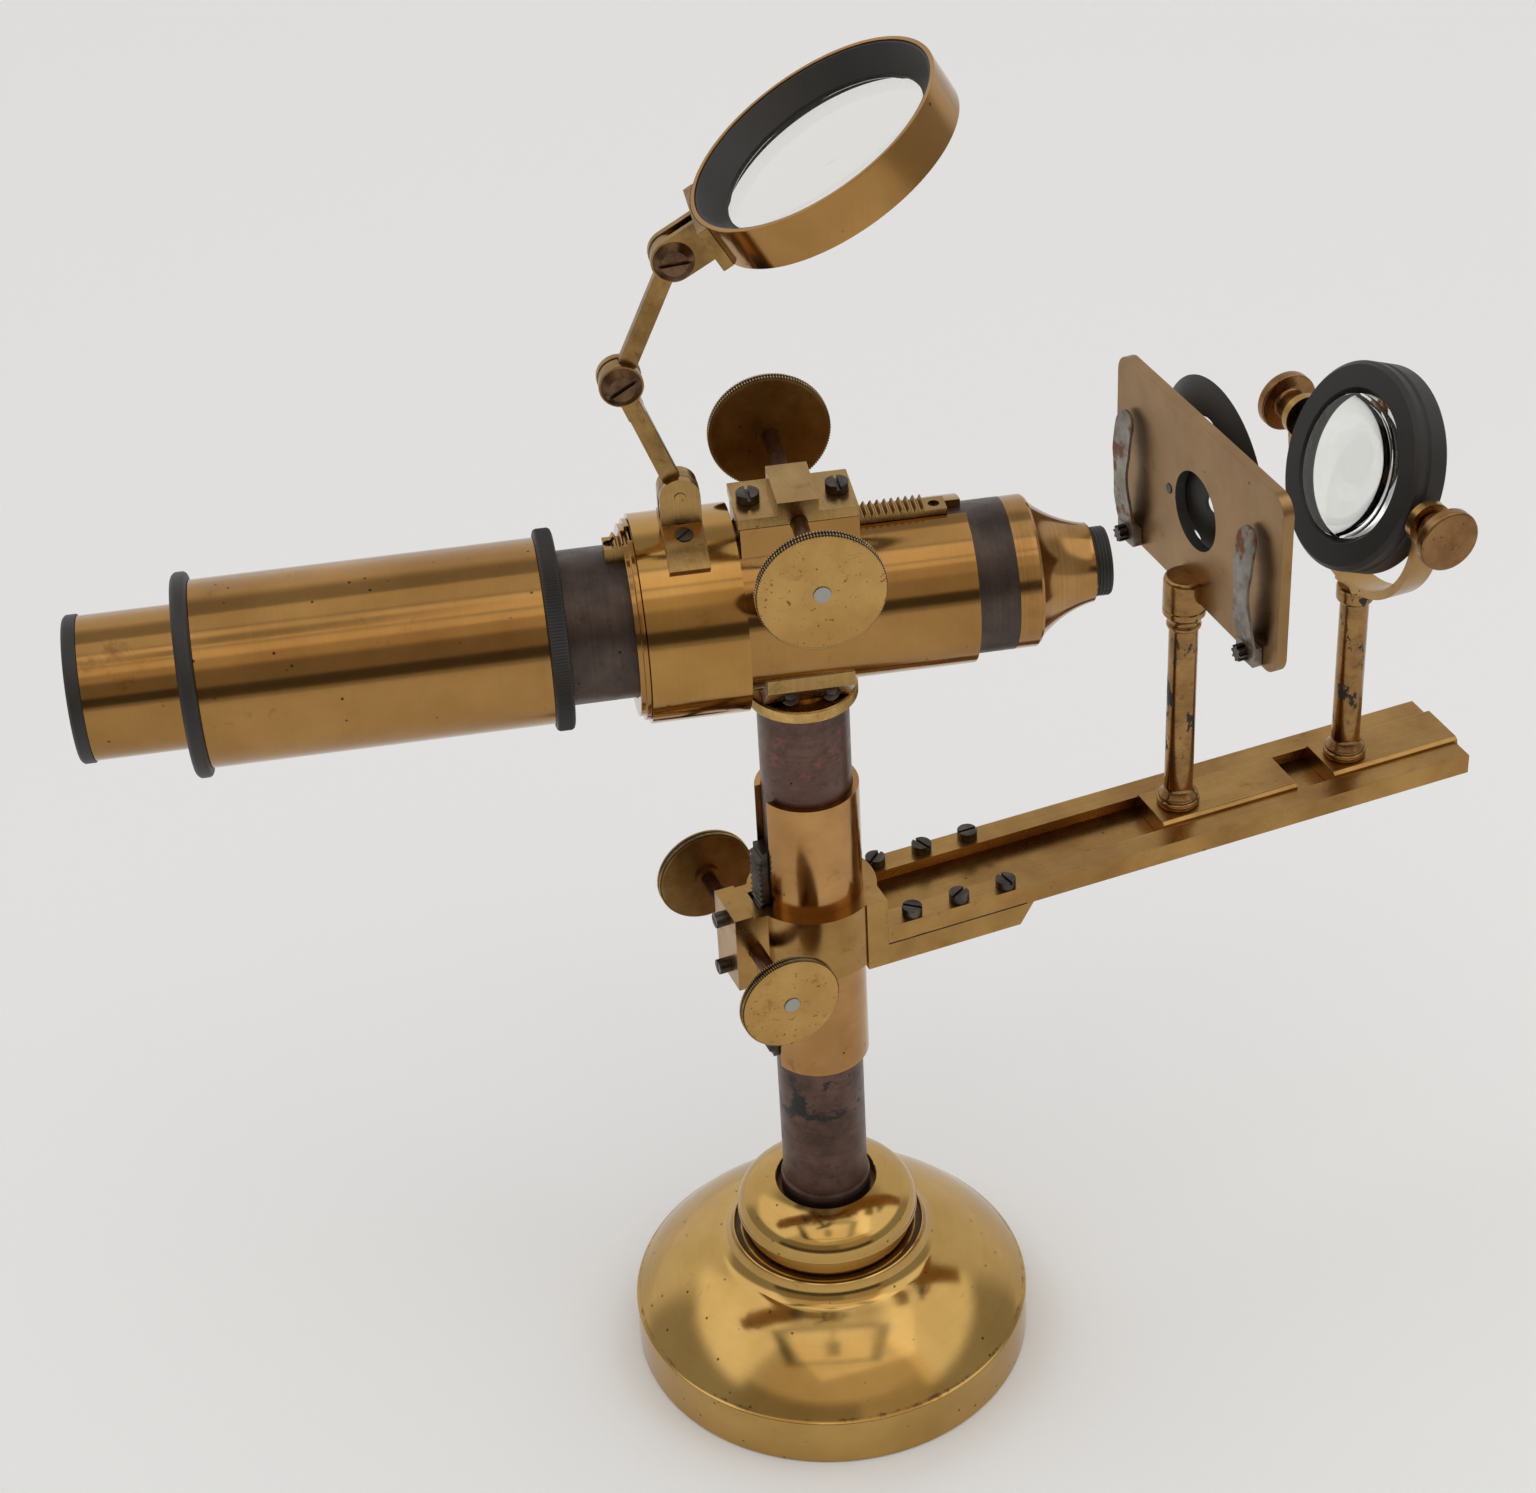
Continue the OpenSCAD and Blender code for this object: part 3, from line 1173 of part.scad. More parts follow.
// Upright brass plate with the aperture
module stage_plate() {
    corner = 6;
    color(brass) translate([0, -plate_dy, 0]) difference() {
        union() {
            translate([plate_x0, -plate_half + corner, plate_z0])
                cube([plate_t, 2 * (plate_half - corner), plate_z1 - plate_z0]);
            translate([plate_x0, -plate_half, plate_z0 + corner])
                cube([plate_t, 2 * plate_half, plate_z1 - plate_z0 - 2 * corner]);
            for (s = [-1, 1], z = [plate_z0 + corner, plate_z1 - corner])
                translate([0, s * (plate_half - corner), z]) rod_x(plate_x0, plate_x1, corner, small_fn);
        }
        translate([0, 0, aperture_z]) rod_x(plate_x0 - 1, plate_x1 + 1, aperture_r);
        translate([0, wheel_dy, wheel_z]) rod_x(plate_x0 - 1, plate_x1 + 1, 1.5 + seat_gap, small_fn);
        for (s = [-1, 1]) translate([0, s * clip_y, clip_z])
            rod_x(plate_x0 - 1, plate_x1 + 1, 1 + seat_gap, small_fn);
    }
}

// Toothed-head screws that hold the clips
module clip_screws() {
    x1 = plate_x0 - clip_foot_t - run_gap;
    head = 1.7;
    color(steel) for (s = [-1, 1]) translate([0, s * clip_y - plate_dy, clip_z]) {
        rod_x(x1 - head, plate_x1 - 0.2, 1, small_fn);
        rod_x(x1 - head - 0.9, x1 - run_gap, head, small_fn);
        for (a = [0:45:315]) rotate([a, 0, 0]) translate([x1 - head - 0.9, -0.32, 0])
            cube([head + 0.9 - run_gap, 0.64, head + 0.7]);
    }
}

// Bowed spring clip that turns on its screw, leaning by a few degrees
module stage_clip(y, lean) {
    bow = 2.4;
    bow_r = (pow(clip_len / 2, 2) + bow * bow) / (2 * bow);
    mid_z = clip_len / 2;
    color(steel) translate([0, y - plate_dy, clip_z]) rotate([-lean, 0, 0]) difference() {
        union() {
            translate([plate_x0 - clip_foot_t, -clip_half, -3])
                cube([clip_foot_t - 0.15, 2 * clip_half, 5.6]);
            intersection() {
                translate([plate_x0 - 0.4 + bow_r - bow - clip_t, clip_half + 1, mid_z]) rotate([90, 0, 0])
                    linear_extrude(2 * clip_half + 2) difference() {
                        circle(r = bow_r + clip_t, $fn = 360);
                        circle(r = bow_r, $fn = 360);
                    }
                translate([plate_x0 - 8, 0, 0]) rotate([90, 0, 90]) linear_extrude(8) difference() {
                    union() {
                        translate([-clip_half, -3]) square([2 * clip_half, clip_len - clip_half + 3]);
                        translate([0, clip_len - clip_half]) circle(r = clip_half, $fn = small_fn);
                    }
                    for (s = [-1, 1]) translate([s * (clip_half + 24.6), clip_len * 0.48])
                        circle(r = 25.6, $fn = 180);
                }
                translate([plate_x0 - 8, -10, -3]) cube([8 - 0.2, 20, clip_len + 3]);
            }
        }
        rod_x(plate_x0 - 10, plate_x0 + 1, 1 + run_gap, small_fn);
    }
}

module stage_clip_near() {
    stage_clip(-clip_y, clip_lean_near);
}

module stage_clip_far() {
    stage_clip(clip_y, clip_lean_far);
}

// Screw that the diaphragm wheel turns on
module wheel_pivot() {
    color(steel) translate([0, wheel_y, wheel_z]) {
        rod_x(plate_x0 - 0.3, plate_x1 + wheel_gap + wheel_t + 1.2, 1.5, small_fn);
        rod_x(plate_x1 + wheel_gap + wheel_t + 0.9, plate_x1 + wheel_gap + wheel_t + 2.4, 3, small_fn);
    }
}

// Dished wheel of diaphragms behind the plate
module diaphragm_wheel() {
    apex = plate_x1 + wheel_gap;
    color(black) difference() {
        translate([apex + wheel_sphere_r, wheel_y, wheel_z]) intersection() {
            difference() {
                sphere(r = wheel_sphere_r, $fn = 180);
                sphere(r = wheel_sphere_r - wheel_t, $fn = 180);
            }
            rod_x(-wheel_sphere_r - 1, -wheel_sphere_r + wheel_deep, wheel_r + 2);
        }
        translate([0, wheel_y, wheel_z]) {
            rod_x(apex - 1, apex + 3, 1.5 + run_gap, small_fn);
            for (i = [0:4]) rotate([72 * i - 3, 0, 0]) translate([0, -wheel_dy, 0])
                rod_x(apex - 1, apex + wheel_deep, wheel_hole_r[i], small_fn);
        }
    }
}

module condenser_slider() {
    rail_slider(cond_x, cond_slider_x0, cond_slider_x1);
}

// Post of the condenser with a neck ring
module condenser_post() {
    color(copper_brass) translate([cond_x, 0, 0]) {
        rail_post(cond_post_z);
        translate([0, 0, cond_post_z - neck_ring_h]) rotate_extrude($fn = round_fn) polygon([
            [0, 0], [post_r, 0], [post_r + neck_ring_step, neck_ring_h / 4],
            [post_r + neck_ring_step, neck_ring_h - 0.8], [post_r + neck_ring_step - 0.8, neck_ring_h],
            [0, neck_ring_h]
        ]);
    }
}

// Half-round brass fork with two ears
module condenser_fork() {
    color(brass) translate([cond_x, 0, cell_z]) difference() {
        union() {
            translate([0, 0, -fork_drop]) difference() {
                rod_x(-fork_w / 2, fork_w / 2, fork_r1);
                rod_x(-fork_w, fork_w, fork_r0);
                translate([-fork_w, -fork_r1 - 1, 0]) cube([2 * fork_w, 2 * fork_r1 + 2, fork_r1 + 2]);
            }
            for (s = [-1, 1]) translate([0, s * (fork_r0 + fork_t / 2), 0]) {
                rod_y(-fork_t / 2, fork_t / 2, ear_r);
                translate([-fork_w / 2, -fork_t / 2, -ear_r]) cube([fork_w, fork_t, ear_r]);
            }
            translate([-fork_w / 2, -fork_seat_half, -fork_drop - fork_r1 - fork_seat_t + seat_gap])
                cube([fork_w, 2 * fork_seat_half, fork_seat_t + fork_t / 2]);
        }
        rod_y(-2 * fork_r1, 2 * fork_r1, tilt_pin_r + run_gap);
    }
}

// The frame of the cell: X along its own axis, tilted about the trunnions
module in_cell() {
    translate([cond_x, 0, cell_z]) rotate([0, cell_tilt, 0]) children();
}

// Front ring of the lens cell
module cell_front() {
    edge = 1.2;
    x0 = -cell_front_t;
    x1 = -cell_seam;
    color(black) in_cell() rotate([0, 90, 0]) rotate_extrude($fn = round_fn) polygon([
        [glass_r, x0 + 2.2], [glass_r + 1.6, x0], [cell_r - edge, x0], [cell_r, x0 + edge],
        [cell_r, x1], [glass_r + 2.6, x1], [glass_r + 2.6, cell_seat_x], [glass_r, cell_seat_x]
    ]);
}

// Back ring of the lens cell with a fine knurled band
module cell_back() {
    x0 = seat_gap - cell_seam;
    x1 = cell_back_t;
    color(black) in_cell() difference() {
        rotate([0, 90, 0]) rotate_extrude($fn = round_fn) polygon([
            [glass_r + 2.6, x0], [cell_r - 0.5, x0], [cell_r - 0.5, x0 + 1.4], [cell_r, x0 + 1.8],
            [cell_r, x1 - 0.8], [cell_r - 0.8, x1], [glass_r, x1], [glass_r, x1 - 1], [glass_r + 2.6, x1 - 1]
        ]);
        rod_y(-2 * fork_r1, 2 * fork_r1, tilt_pin_r + seat_gap);
    }
}

// Thick lens of the condenser, nearly flat in front and steep behind
module condenser_lens() {
    r = glass_r + 2.6 - seat_gap;
    x0 = cell_seat_x + seat_gap;
    x1 = cell_back_t - 1 - seat_gap;
    clear_r = glass_r - 0.4;
    front = 2;
    back = 7;
    front_ball = (clear_r * clear_r + front * front) / (2 * front);
    back_ball = (clear_r * clear_r + back * back) / (2 * back);
    color(glass) in_cell() rotate([0, 90, 0]) rotate_extrude($fn = round_fn) {
        translate([0, x0]) square([r, x1 - x0]);
        intersection() {
            translate([0, x0 - front - 1]) square([clear_r, front + 1.1]);
            translate([0, x0 - front + front_ball]) circle(r = front_ball, $fn = 360);
        }
        intersection() {
            translate([0, x1 - 0.1]) square([clear_r, back + 1]);
            translate([0, x1 + back - back_ball]) circle(r = back_ball, $fn = 360);
        }
    }
}

// Two knobs on pins that carry the cell in the ears of the fork
module trunnion_knobs() {
    color(brass) in_cell() for (s = [0, 180]) rotate([0, 0, s]) {
        rod_y(cell_r - 1.6, tilt_knob_y - tilt_knob_t + 0.1, tilt_pin_r);
        rod_y(fork_r1 + pass_gap, tilt_knob_y - tilt_knob_t + 0.1, tilt_collar_r);
        translate([0, tilt_knob_y - tilt_knob_t, 0]) rotate([-90, 0, 0])
            rotate_extrude($fn = round_fn) polygon([
                [0, 0], [tilt_knob_r - 0.5, 0], [tilt_knob_r, 0.5], [tilt_knob_r, tilt_knob_t - 0.6],
                [tilt_knob_r - 0.7, tilt_knob_t], [0, tilt_knob_t]
            ]);
    }
}

base_shell();
pillar_tube();
pillar_head();
pillar_rack();
guide_sleeve();
bracket();
pinion_cap();
pinion_cap_screws();
rail();
rail_screws();
low_shaft();
low_knobs();
head_disc();
saddle();
saddle_screws();
body_tube();
body_end_ring();
pinion_plate();
pinion_plate_screws();
up_shaft();
up_knobs();
focus_tube();
focus_rack();
focus_rack_screws();
draw_sleeve();
sleeve_ring();
eye_flange();
nose_cone();
objective_tip();
objective_lens();
eye_tube();
eye_cap();
eye_lens();
field_lens();
loupe_collar();
loupe_bracket();
loupe_bracket_screw();
link_lower();
elbow_screw();
link_upper();
loupe_holder();
top_screw();
loupe_ring();
loupe_cell();
loupe_lens();
stage_slider();
stage_post();
stage_plate();
clip_screws();
wheel_pivot();
diaphragm_wheel();
stage_clip_near();
stage_clip_far();
condenser_slider();
condenser_post();
condenser_fork();
cell_front();
cell_back();
condenser_lens();
trunnion_knobs();
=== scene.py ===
import math

import bmesh
import bpy
from mathutils import Matrix, Vector


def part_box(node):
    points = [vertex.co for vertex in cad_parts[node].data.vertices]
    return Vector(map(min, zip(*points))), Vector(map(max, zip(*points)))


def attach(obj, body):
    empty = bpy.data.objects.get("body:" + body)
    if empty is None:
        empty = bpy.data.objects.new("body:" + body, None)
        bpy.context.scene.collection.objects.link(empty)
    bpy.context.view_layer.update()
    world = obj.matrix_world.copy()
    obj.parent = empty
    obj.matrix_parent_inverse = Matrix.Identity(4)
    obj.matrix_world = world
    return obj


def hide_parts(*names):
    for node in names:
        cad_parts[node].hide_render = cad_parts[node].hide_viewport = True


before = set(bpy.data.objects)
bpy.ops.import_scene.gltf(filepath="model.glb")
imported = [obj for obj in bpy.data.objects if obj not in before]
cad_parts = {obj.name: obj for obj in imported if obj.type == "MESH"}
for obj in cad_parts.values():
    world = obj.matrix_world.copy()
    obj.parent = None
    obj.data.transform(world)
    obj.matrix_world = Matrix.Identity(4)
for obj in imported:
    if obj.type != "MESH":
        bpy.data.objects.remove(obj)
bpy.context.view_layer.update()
scene = bpy.context.scene
scene.view_settings.view_transform = "Standard"
MM = 0.001

# The photographer's camera. A long lens on a full frame looks down at the instrument from its
# left front, turned by a few degrees. The place and the angles were fitted to the photograph.
camera_place = Vector((-0.25897, -0.66588, 0.72152))
heading, pitch, roll = math.radians(20.45), math.radians(35.16), math.radians(-3.28)
film_width_mm, focal_length_mm = 36, 75.18
ahead = Vector((math.sin(heading) * math.cos(pitch), math.cos(heading) * math.cos(pitch), -math.sin(pitch)))
level = Vector((math.cos(heading), -math.sin(heading), 0))
upright = level.cross(ahead)
right = math.cos(roll) * level + math.sin(roll) * upright
up = math.cos(roll) * upright - math.sin(roll) * level
camera = bpy.data.objects.new("camera", bpy.data.cameras.new("camera"))
scene.collection.objects.link(camera)
camera.data.sensor_fit = "HORIZONTAL"
camera.data.sensor_width = film_width_mm
camera.data.lens = focal_length_mm
camera.data.clip_end = 20
camera.matrix_world = Matrix.Translation(camera_place) @ Matrix((right, up, -ahead)).transposed().to_4x4()
scene.camera = camera


# The table. A pale grey sheet of paper lies under the stand and runs on far behind it. Its colour is
# painted a little lighter towards the camera: painted light that evens out the dimmer light near it.
def srgb(text):
    """The linear colour of a hex sRGB value."""
    parts = [int(text[i:i + 2], 16) / 255 for i in (1, 3, 5)]
    return tuple(c / 12.92 if c <= 0.04045 else ((c + 0.055) / 1.055) ** 2.4 for c in parts) + (1,)


def add(tree, kind, inputs=None, **settings):
    """Adds a node with its settings and inputs, each a value or another node's output."""
    made = tree.nodes.new(kind)
    for name, value in settings.items():
        setattr(made, name, value)
    for name, value in (inputs or {}).items():
        if isinstance(value, bpy.types.NodeSocket):
            tree.links.new(value, made.inputs[name])
        else:
            made.inputs[name].default_value = value
    return made


def new_material(name):
    """A material with an empty tree: the material, its tree and output, and the place on a piece."""
    material = bpy.data.materials.new(name)
    material.use_nodes = True
    tree = material.node_tree
    tree.nodes.clear()
    place = add(tree, "ShaderNodeTexCoord").outputs["Object"]
    return material, tree, add(tree, "ShaderNodeOutputMaterial"), place


# Uncoated paper: matt, without a highlight, so it takes only the soft shadow of the stand.
far_y, near_y, table_half = 0.45, -0.35, 4.0
paper, tree, out, place = new_material("pale_grey_paper")
depth = add(tree, "ShaderNodeSeparateXYZ", {"Vector": place}).outputs["Y"]
# Painted light: the paper's colour runs lighter from the far end to the near end of the table.
painted_light_nearer = add(tree, "ShaderNodeMapRange", {"Value": depth, "From Min": far_y, "From Max": near_y})
tone = add(tree, "ShaderNodeMix", {"Factor": painted_light_nearer.outputs["Result"], "A": srgb("#f6f7f8"),
                                   "B": srgb("#fcfeff")}, data_type="RGBA")
sheet = add(tree, "ShaderNodeBsdfPrincipled", {"Base Color": tone.outputs["Result"], "Roughness": 0.9,
                                               "Specular IOR Level": 0.1})
tree.links.new(sheet.outputs["BSDF"], out.inputs["Surface"])
bm = bmesh.new()
bmesh.ops.create_grid(bm, x_segments=8, y_segments=8, size=table_half)
mesh = bpy.data.meshes.new("table")
bm.to_mesh(mesh)
bm.free()
mesh.materials.append(paper)
table = bpy.data.objects.new("table", mesh)
scene.collection.objects.link(table)

# The studio. Two soft boxes stand left and right of the camera and a wide lamp hangs above. The
# rest of the room is dim, which polished brass shows as dark bands between the lights.
world = bpy.data.worlds.new("studio")
scene.world = world
world.use_nodes = True
tree = world.node_tree
tree.nodes.clear()
look = add(tree, "ShaderNodeTexCoord").outputs["Generated"]
rightwards = (math.cos(heading), -math.sin(heading), 0)
backwards = (-math.sin(heading), -math.cos(heading), 0)
to_right, to_camera, to_top = [
    add(tree, "ShaderNodeVectorMath", {0: look, 1: axis}, operation="DOT_PRODUCT").outputs["Value"]
    for axis in (rightwards, backwards, (0, 0, 1))]
# A direction as two angles in degrees: round from the camera's side to the right, and up.
turn = add(tree, "ShaderNodeMath", {0: to_right, 1: to_camera}, operation="ARCTAN2").outputs["Value"]
rise = add(tree, "ShaderNodeMath", {0: to_top}, operation="ARCSINE").outputs["Value"]
degrees = [add(tree, "ShaderNodeMath", {0: angle, 1: 180 / math.pi}, operation="MULTIPLY").outputs["Value"]
           for angle in (turn, rise)]
# The same direction as a place on a flat ceiling, in heights of that ceiling.
height = add(tree, "ShaderNodeMath", {0: to_top, 1: 0.05}, operation="MAXIMUM").outputs["Value"]
ceiling = [add(tree, "ShaderNodeMath", {0: part, 1: height}, operation="DIVIDE").outputs["Value"]
           for part in (to_right, to_camera)]


def within(tree, ranges, half_edge, kind):
    """A mask: 1 where each value lies between its low and high end, and 0 outside. Each end is
    crossed over half_edge to either side, by the kind of step that Map Range names."""
    mask = 1.0
    for value, low, high in ranges:
        for end, inside in ((low, half_edge), (high, -half_edge)):
            step = add(tree, "ShaderNodeMapRange", {"Value": value, "From Min": end - inside,
                                                    "From Max": end + inside}, interpolation_type=kind)
            mask = add(tree, "ShaderNodeMath", {0: step.outputs["Result"], 1: mask}, operation="MULTIPLY")
            mask = mask.outputs["Value"]
    return mask


# Each patch of the room: left, right, low and high end, width of its soft edge, brightness.
room_glow = 0.42
room = (
    (-230, -120, -20, 46, 16, 0.86),  # pale wall behind the instrument, at the left
    (120, 230, -20, 46, 16, 0.8),     # the same wall, at the right
    (-60, 50, 1, 17, 4, 0.1),         # dark edge of the table
    (-60, 13, 16, 38, 5, 0.34),       # dim room around the photographer
    (12, 50, 16, 38, 5, 0.54),        # lighter wall at their right
    (-60, 50, 38, 61, 6, 0.76),       # ceiling over their head
    (-132, -58, 32, 71, 9, 1.3),      # left soft box
    (52, 122, 29, 71, 9, 1.24),       # right soft box
)
overhead = (
    (-0.45, 0.41, 0.07, 0.53, 0.03, 0.05),   # dark frame in the ceiling
    (-0.34, 0.3, 0.12, 0.49, 0.07, 0.85),    # light opening in the frame
    (-0.065, 0.04, 0.25, 0.43, 0.04, 0.01),  # camera that hangs in the opening
    (-0.022, 0.0, 0.1, 0.3, 0.01, 0.03),     # its stand
)
studio = room_glow
for scales, patches in ((degrees, room), (ceiling, overhead)):
    for left, rightmost, low, high, soft, glow in patches:
        mask = within(tree, ((scales[0], left, rightmost), (scales[1], low, high)), soft / 2, "SMOOTHSTEP")
        studio = add(tree, "ShaderNodeMix", {"Factor": mask, "A": studio, "B": glow}).outputs["Result"]
# What hangs over and behind the photographer throws back slightly warm light.
warm = within(tree, ((degrees[0], -50, 60), (degrees[1], 2, 75)), 4, "SMOOTHSTEP")
warmth = add(tree, "ShaderNodeMix", {"Factor": warm, "A": srgb("#ffffff"), "B": srgb("#fbeedd")},
             data_type="RGBA")
air = add(tree, "ShaderNodeBackground", {"Color": warmth.outputs["Result"], "Strength": studio})
tree.links.new(air.outputs["Background"], add(tree, "ShaderNodeOutputWorld").inputs["Surface"])
lamp = bpy.data.objects.new("overhead_lamp", bpy.data.lights.new("overhead_lamp", "AREA"))
lamp.data.size = 3.0
lamp.data.energy = 13
lamp.location = (0.2, -0.6, 3.0)
scene.collection.objects.link(lamp)


# The round base. One heavy brass casting, turned in a lathe, polished and lacquered: a domed foot
# with an upright rim, a groove, and a boss that the pillar is let into.
def worn_metal(name, bright, dull, stain, roughness, drift_mm=14, line_mm=None, line_axis="Z", line_turn=0.0,
               stain_share=0.35, pits=0.5, pit_mm=1.6, metallic=1.0, depth_mm=0.004, line_tone=0.22):
    """A worn metal: two tones that drift into each other, stains, small dark pits, and the tool
    marks of its finish, which run round line_axis and lie line_mm apart."""
    material, tree, out, place = new_material(name)
    drift = add(tree, "ShaderNodeTexNoise", {"Vector": place, "Scale": 1 / (drift_mm * MM), "Detail": 4.0,
                                             "Roughness": 0.6})
    drifted = add(tree, "ShaderNodeMapRange", {"Value": drift.outputs["Fac"], "From Min": 0.35,
                                               "From Max": 0.65})
    tone = add(tree, "ShaderNodeMix", {"Factor": drifted.outputs["Result"], "A": srgb(bright),
                                       "B": srgb(dull)}, data_type="RGBA")
    spots = add(tree, "ShaderNodeTexNoise", {
        "Vector": place, "Scale": 1 / (drift_mm * 0.35 * MM), "Detail": 6.0, "Roughness": 0.7,
        "Distortion": 0.4})
    stained = add(tree, "ShaderNodeMapRange", {
        "Value": spots.outputs["Fac"], "From Min": 0.72 - stain_share * 0.3, "From Max": 0.8, "To Max": 0.75})
    aged = add(tree, "ShaderNodeMix", {"Factor": stained.outputs["Result"], "A": tone.outputs["Result"],
                                       "B": srgb(stain)}, data_type="RGBA")
    cell_mm, pitted_share = pit_mm * 2.2, 0.16 * pits
    cells = add(tree, "ShaderNodeTexVoronoi", {"Vector": place, "Scale": 1 / (cell_mm * MM)})
    lot = add(tree, "ShaderNodeTexWhiteNoise", {"Vector": cells.outputs["Position"]})
    chosen = add(tree, "ShaderNodeMath", {0: lot.outputs["Value"], 1: 1 - pitted_share},
                 operation="GREATER_THAN")
    round_hole = add(tree, "ShaderNodeMapRange", {
        "Value": cells.outputs["Distance"], "From Min": 0.05, "From Max": 0.16, "To Min": 1.0, "To Max": 0.0})
    pitted = add(tree, "ShaderNodeMath", {0: chosen.outputs["Value"], 1: round_hole.outputs["Result"]},
                 operation="MULTIPLY").outputs["Value"]
    colour = add(tree, "ShaderNodeMix", {"Factor": pitted, "A": aged.outputs["Result"],
                                         "B": srgb("#2a1d14")}, data_type="RGBA")
    rough = add(tree, "ShaderNodeMapRange", {
        "Value": spots.outputs["Fac"], "From Min": 0.3, "From Max": 0.8, "To Min": roughness * 0.85,
        "To Max": roughness * 1.45})
    relief = pitted
    if line_mm:
        turned_to = add(tree, "ShaderNodeMapping", {"Vector": place, "Rotation": (0, 0, line_turn)})
        line_length_mm = 60
        across, along = 1 / (line_mm * MM), 1 / (line_length_mm * MM)
        stretch = {"X": (across, along, along), "Z": (along, along, across), "Y": (along, across, along)}
        marks = add(tree, "ShaderNodeVectorMath", {0: turned_to.outputs["Vector"], 1: stretch[line_axis]},
                    operation="MULTIPLY")
        lines = add(tree, "ShaderNodeTexNoise", {"Vector": marks.outputs["Vector"], "Scale": 1.0,
                                                 "Detail": 3.0}).outputs["Fac"]
        colour = add(tree, "ShaderNodeMix", {"Factor": line_tone, "A": colour.outputs["Result"], "B": lines},
                     data_type="RGBA", blend_type="OVERLAY")
        relief = add(tree, "ShaderNodeMath", {0: lines, 1: pitted}, operation="SUBTRACT").outputs["Value"]
    bump = add(tree, "ShaderNodeBump", {"Height": relief, "Strength": 0.35, "Distance": depth_mm * MM},
               invert=not line_mm)
    shader = add(tree, "ShaderNodeBsdfPrincipled", {
        "Base Color": colour.outputs["Result"], "Metallic": metallic, "Roughness": rough.outputs["Result"],
        "Normal": bump.outputs["Normal"]})
    tree.links.new(shader.outputs["BSDF"], out.inputs["Surface"])
    return material


def overlaid(material, share, shader):
    """Lays another shader over a material's own, by a share from 0 to 1."""
    tree = material.node_tree
    surface = tree.nodes["Material Output"].inputs["Surface"]
    both = add(tree, "ShaderNodeMixShader", {"Fac": share, 1: surface.links[0].from_socket,
                                             2: shader.outputs["BSDF"]})
    tree.links.new(both.outputs["Shader"], surface)
    return material


def tarnished(material, colour, roughness, where, grain_mm, low, high, stretch=(1, 1, 1)):
    """Lays dull tarnish over a worn metal where a noise of grains, lifted by a mask, runs from low
    to high. The mask comes from a function of the node tree and the place, such as everywhere."""
    tree = material.node_tree
    place = add(tree, "ShaderNodeTexCoord").outputs["Object"]
    mask = where(tree, place)
    scaled = add(tree, "ShaderNodeVectorMath", {0: place, 1: stretch}, operation="MULTIPLY")
    grains = add(tree, "ShaderNodeTexNoise", {"Vector": scaled.outputs["Vector"], "Detail": 7.0,
                                              "Scale": 1 / (grain_mm * MM), "Roughness": 0.68})
    lifted = add(tree, "ShaderNodeMath", {0: grains.outputs["Fac"], 1: mask}, operation="ADD")
    share = add(tree, "ShaderNodeMapRange", {"Value": lifted.outputs["Value"], "From Min": low,
                                             "From Max": high}, interpolation_type="SMOOTHSTEP")
    dull = add(tree, "ShaderNodeBsdfPrincipled", {"Base Color": srgb(colour), "Metallic": 0.6,
                                                  "Roughness": roughness})
    return overlaid(material, share.outputs["Result"], dull)


def everywhere(tree, place):
    """No mask: tarnish lies wherever its grains run high."""
    return 0.0


def ring_mask(low_r, high_r, low_z, high_z, soft, middle=(0, 0, 0), axis=(0, 0, 1)):
    """A mask for a ring round an axis, between two radii and two heights in mm, with edges that
    are soft mm wide to either side. It lifts the grains by half, far over those outside it."""
    def where(tree, place):
        offset = add(tree, "ShaderNodeVectorMath", {0: place, 1: middle}, operation="SUBTRACT")
        offset = offset.outputs["Vector"]
        height = add(tree, "ShaderNodeVectorMath", {0: offset, 1: axis}, operation="DOT_PRODUCT")
        height = height.outputs["Value"]
        raised = add(tree, "ShaderNodeVectorMath", {0: axis, "Scale": height}, operation="SCALE")
        raised = raised.outputs["Vector"]
        flat = add(tree, "ShaderNodeVectorMath", {0: offset, 1: raised}, operation="SUBTRACT")
        reach = add(tree, "ShaderNodeVectorMath", {0: flat.outputs["Vector"]}, operation="LENGTH")
        ranges = ((reach.outputs["Value"], low_r * MM, high_r * MM), (height, low_z * MM, high_z * MM))
        mask = within(tree, ranges, soft * MM, "LINEAR")
        return add(tree, "ShaderNodeMath", {0: mask, 1: 0.5}, operation="MULTIPLY").outputs["Value"]
    return where


def arc(start, end, bulge, points):
    """Points on a round arc from start to end, which stands out by bulge to its left."""
    (x0, y0), (x1, y1) = start, end
    chord = math.hypot(x1 - x0, y1 - y0)
    radius = (chord ** 2 / 4 + bulge ** 2) / (2 * abs(bulge))
    side = math.copysign(1, bulge)
    left = (-(y1 - y0) / chord * side, (x1 - x0) / chord * side)
    cx = (x0 + x1) / 2 - left[0] * (radius - abs(bulge))
    cy = (y0 + y1) / 2 - left[1] * (radius - abs(bulge))
    a0 = math.atan2(y0 - cy, x0 - cx)
    swing = (math.atan2(y1 - cy, x1 - cx) - a0 + math.pi) % (2 * math.pi) - math.pi
    return [(cx + radius * math.cos(a0 + swing * i / points), cy + radius * math.sin(a0 + swing * i / points))
            for i in range(points + 1)]


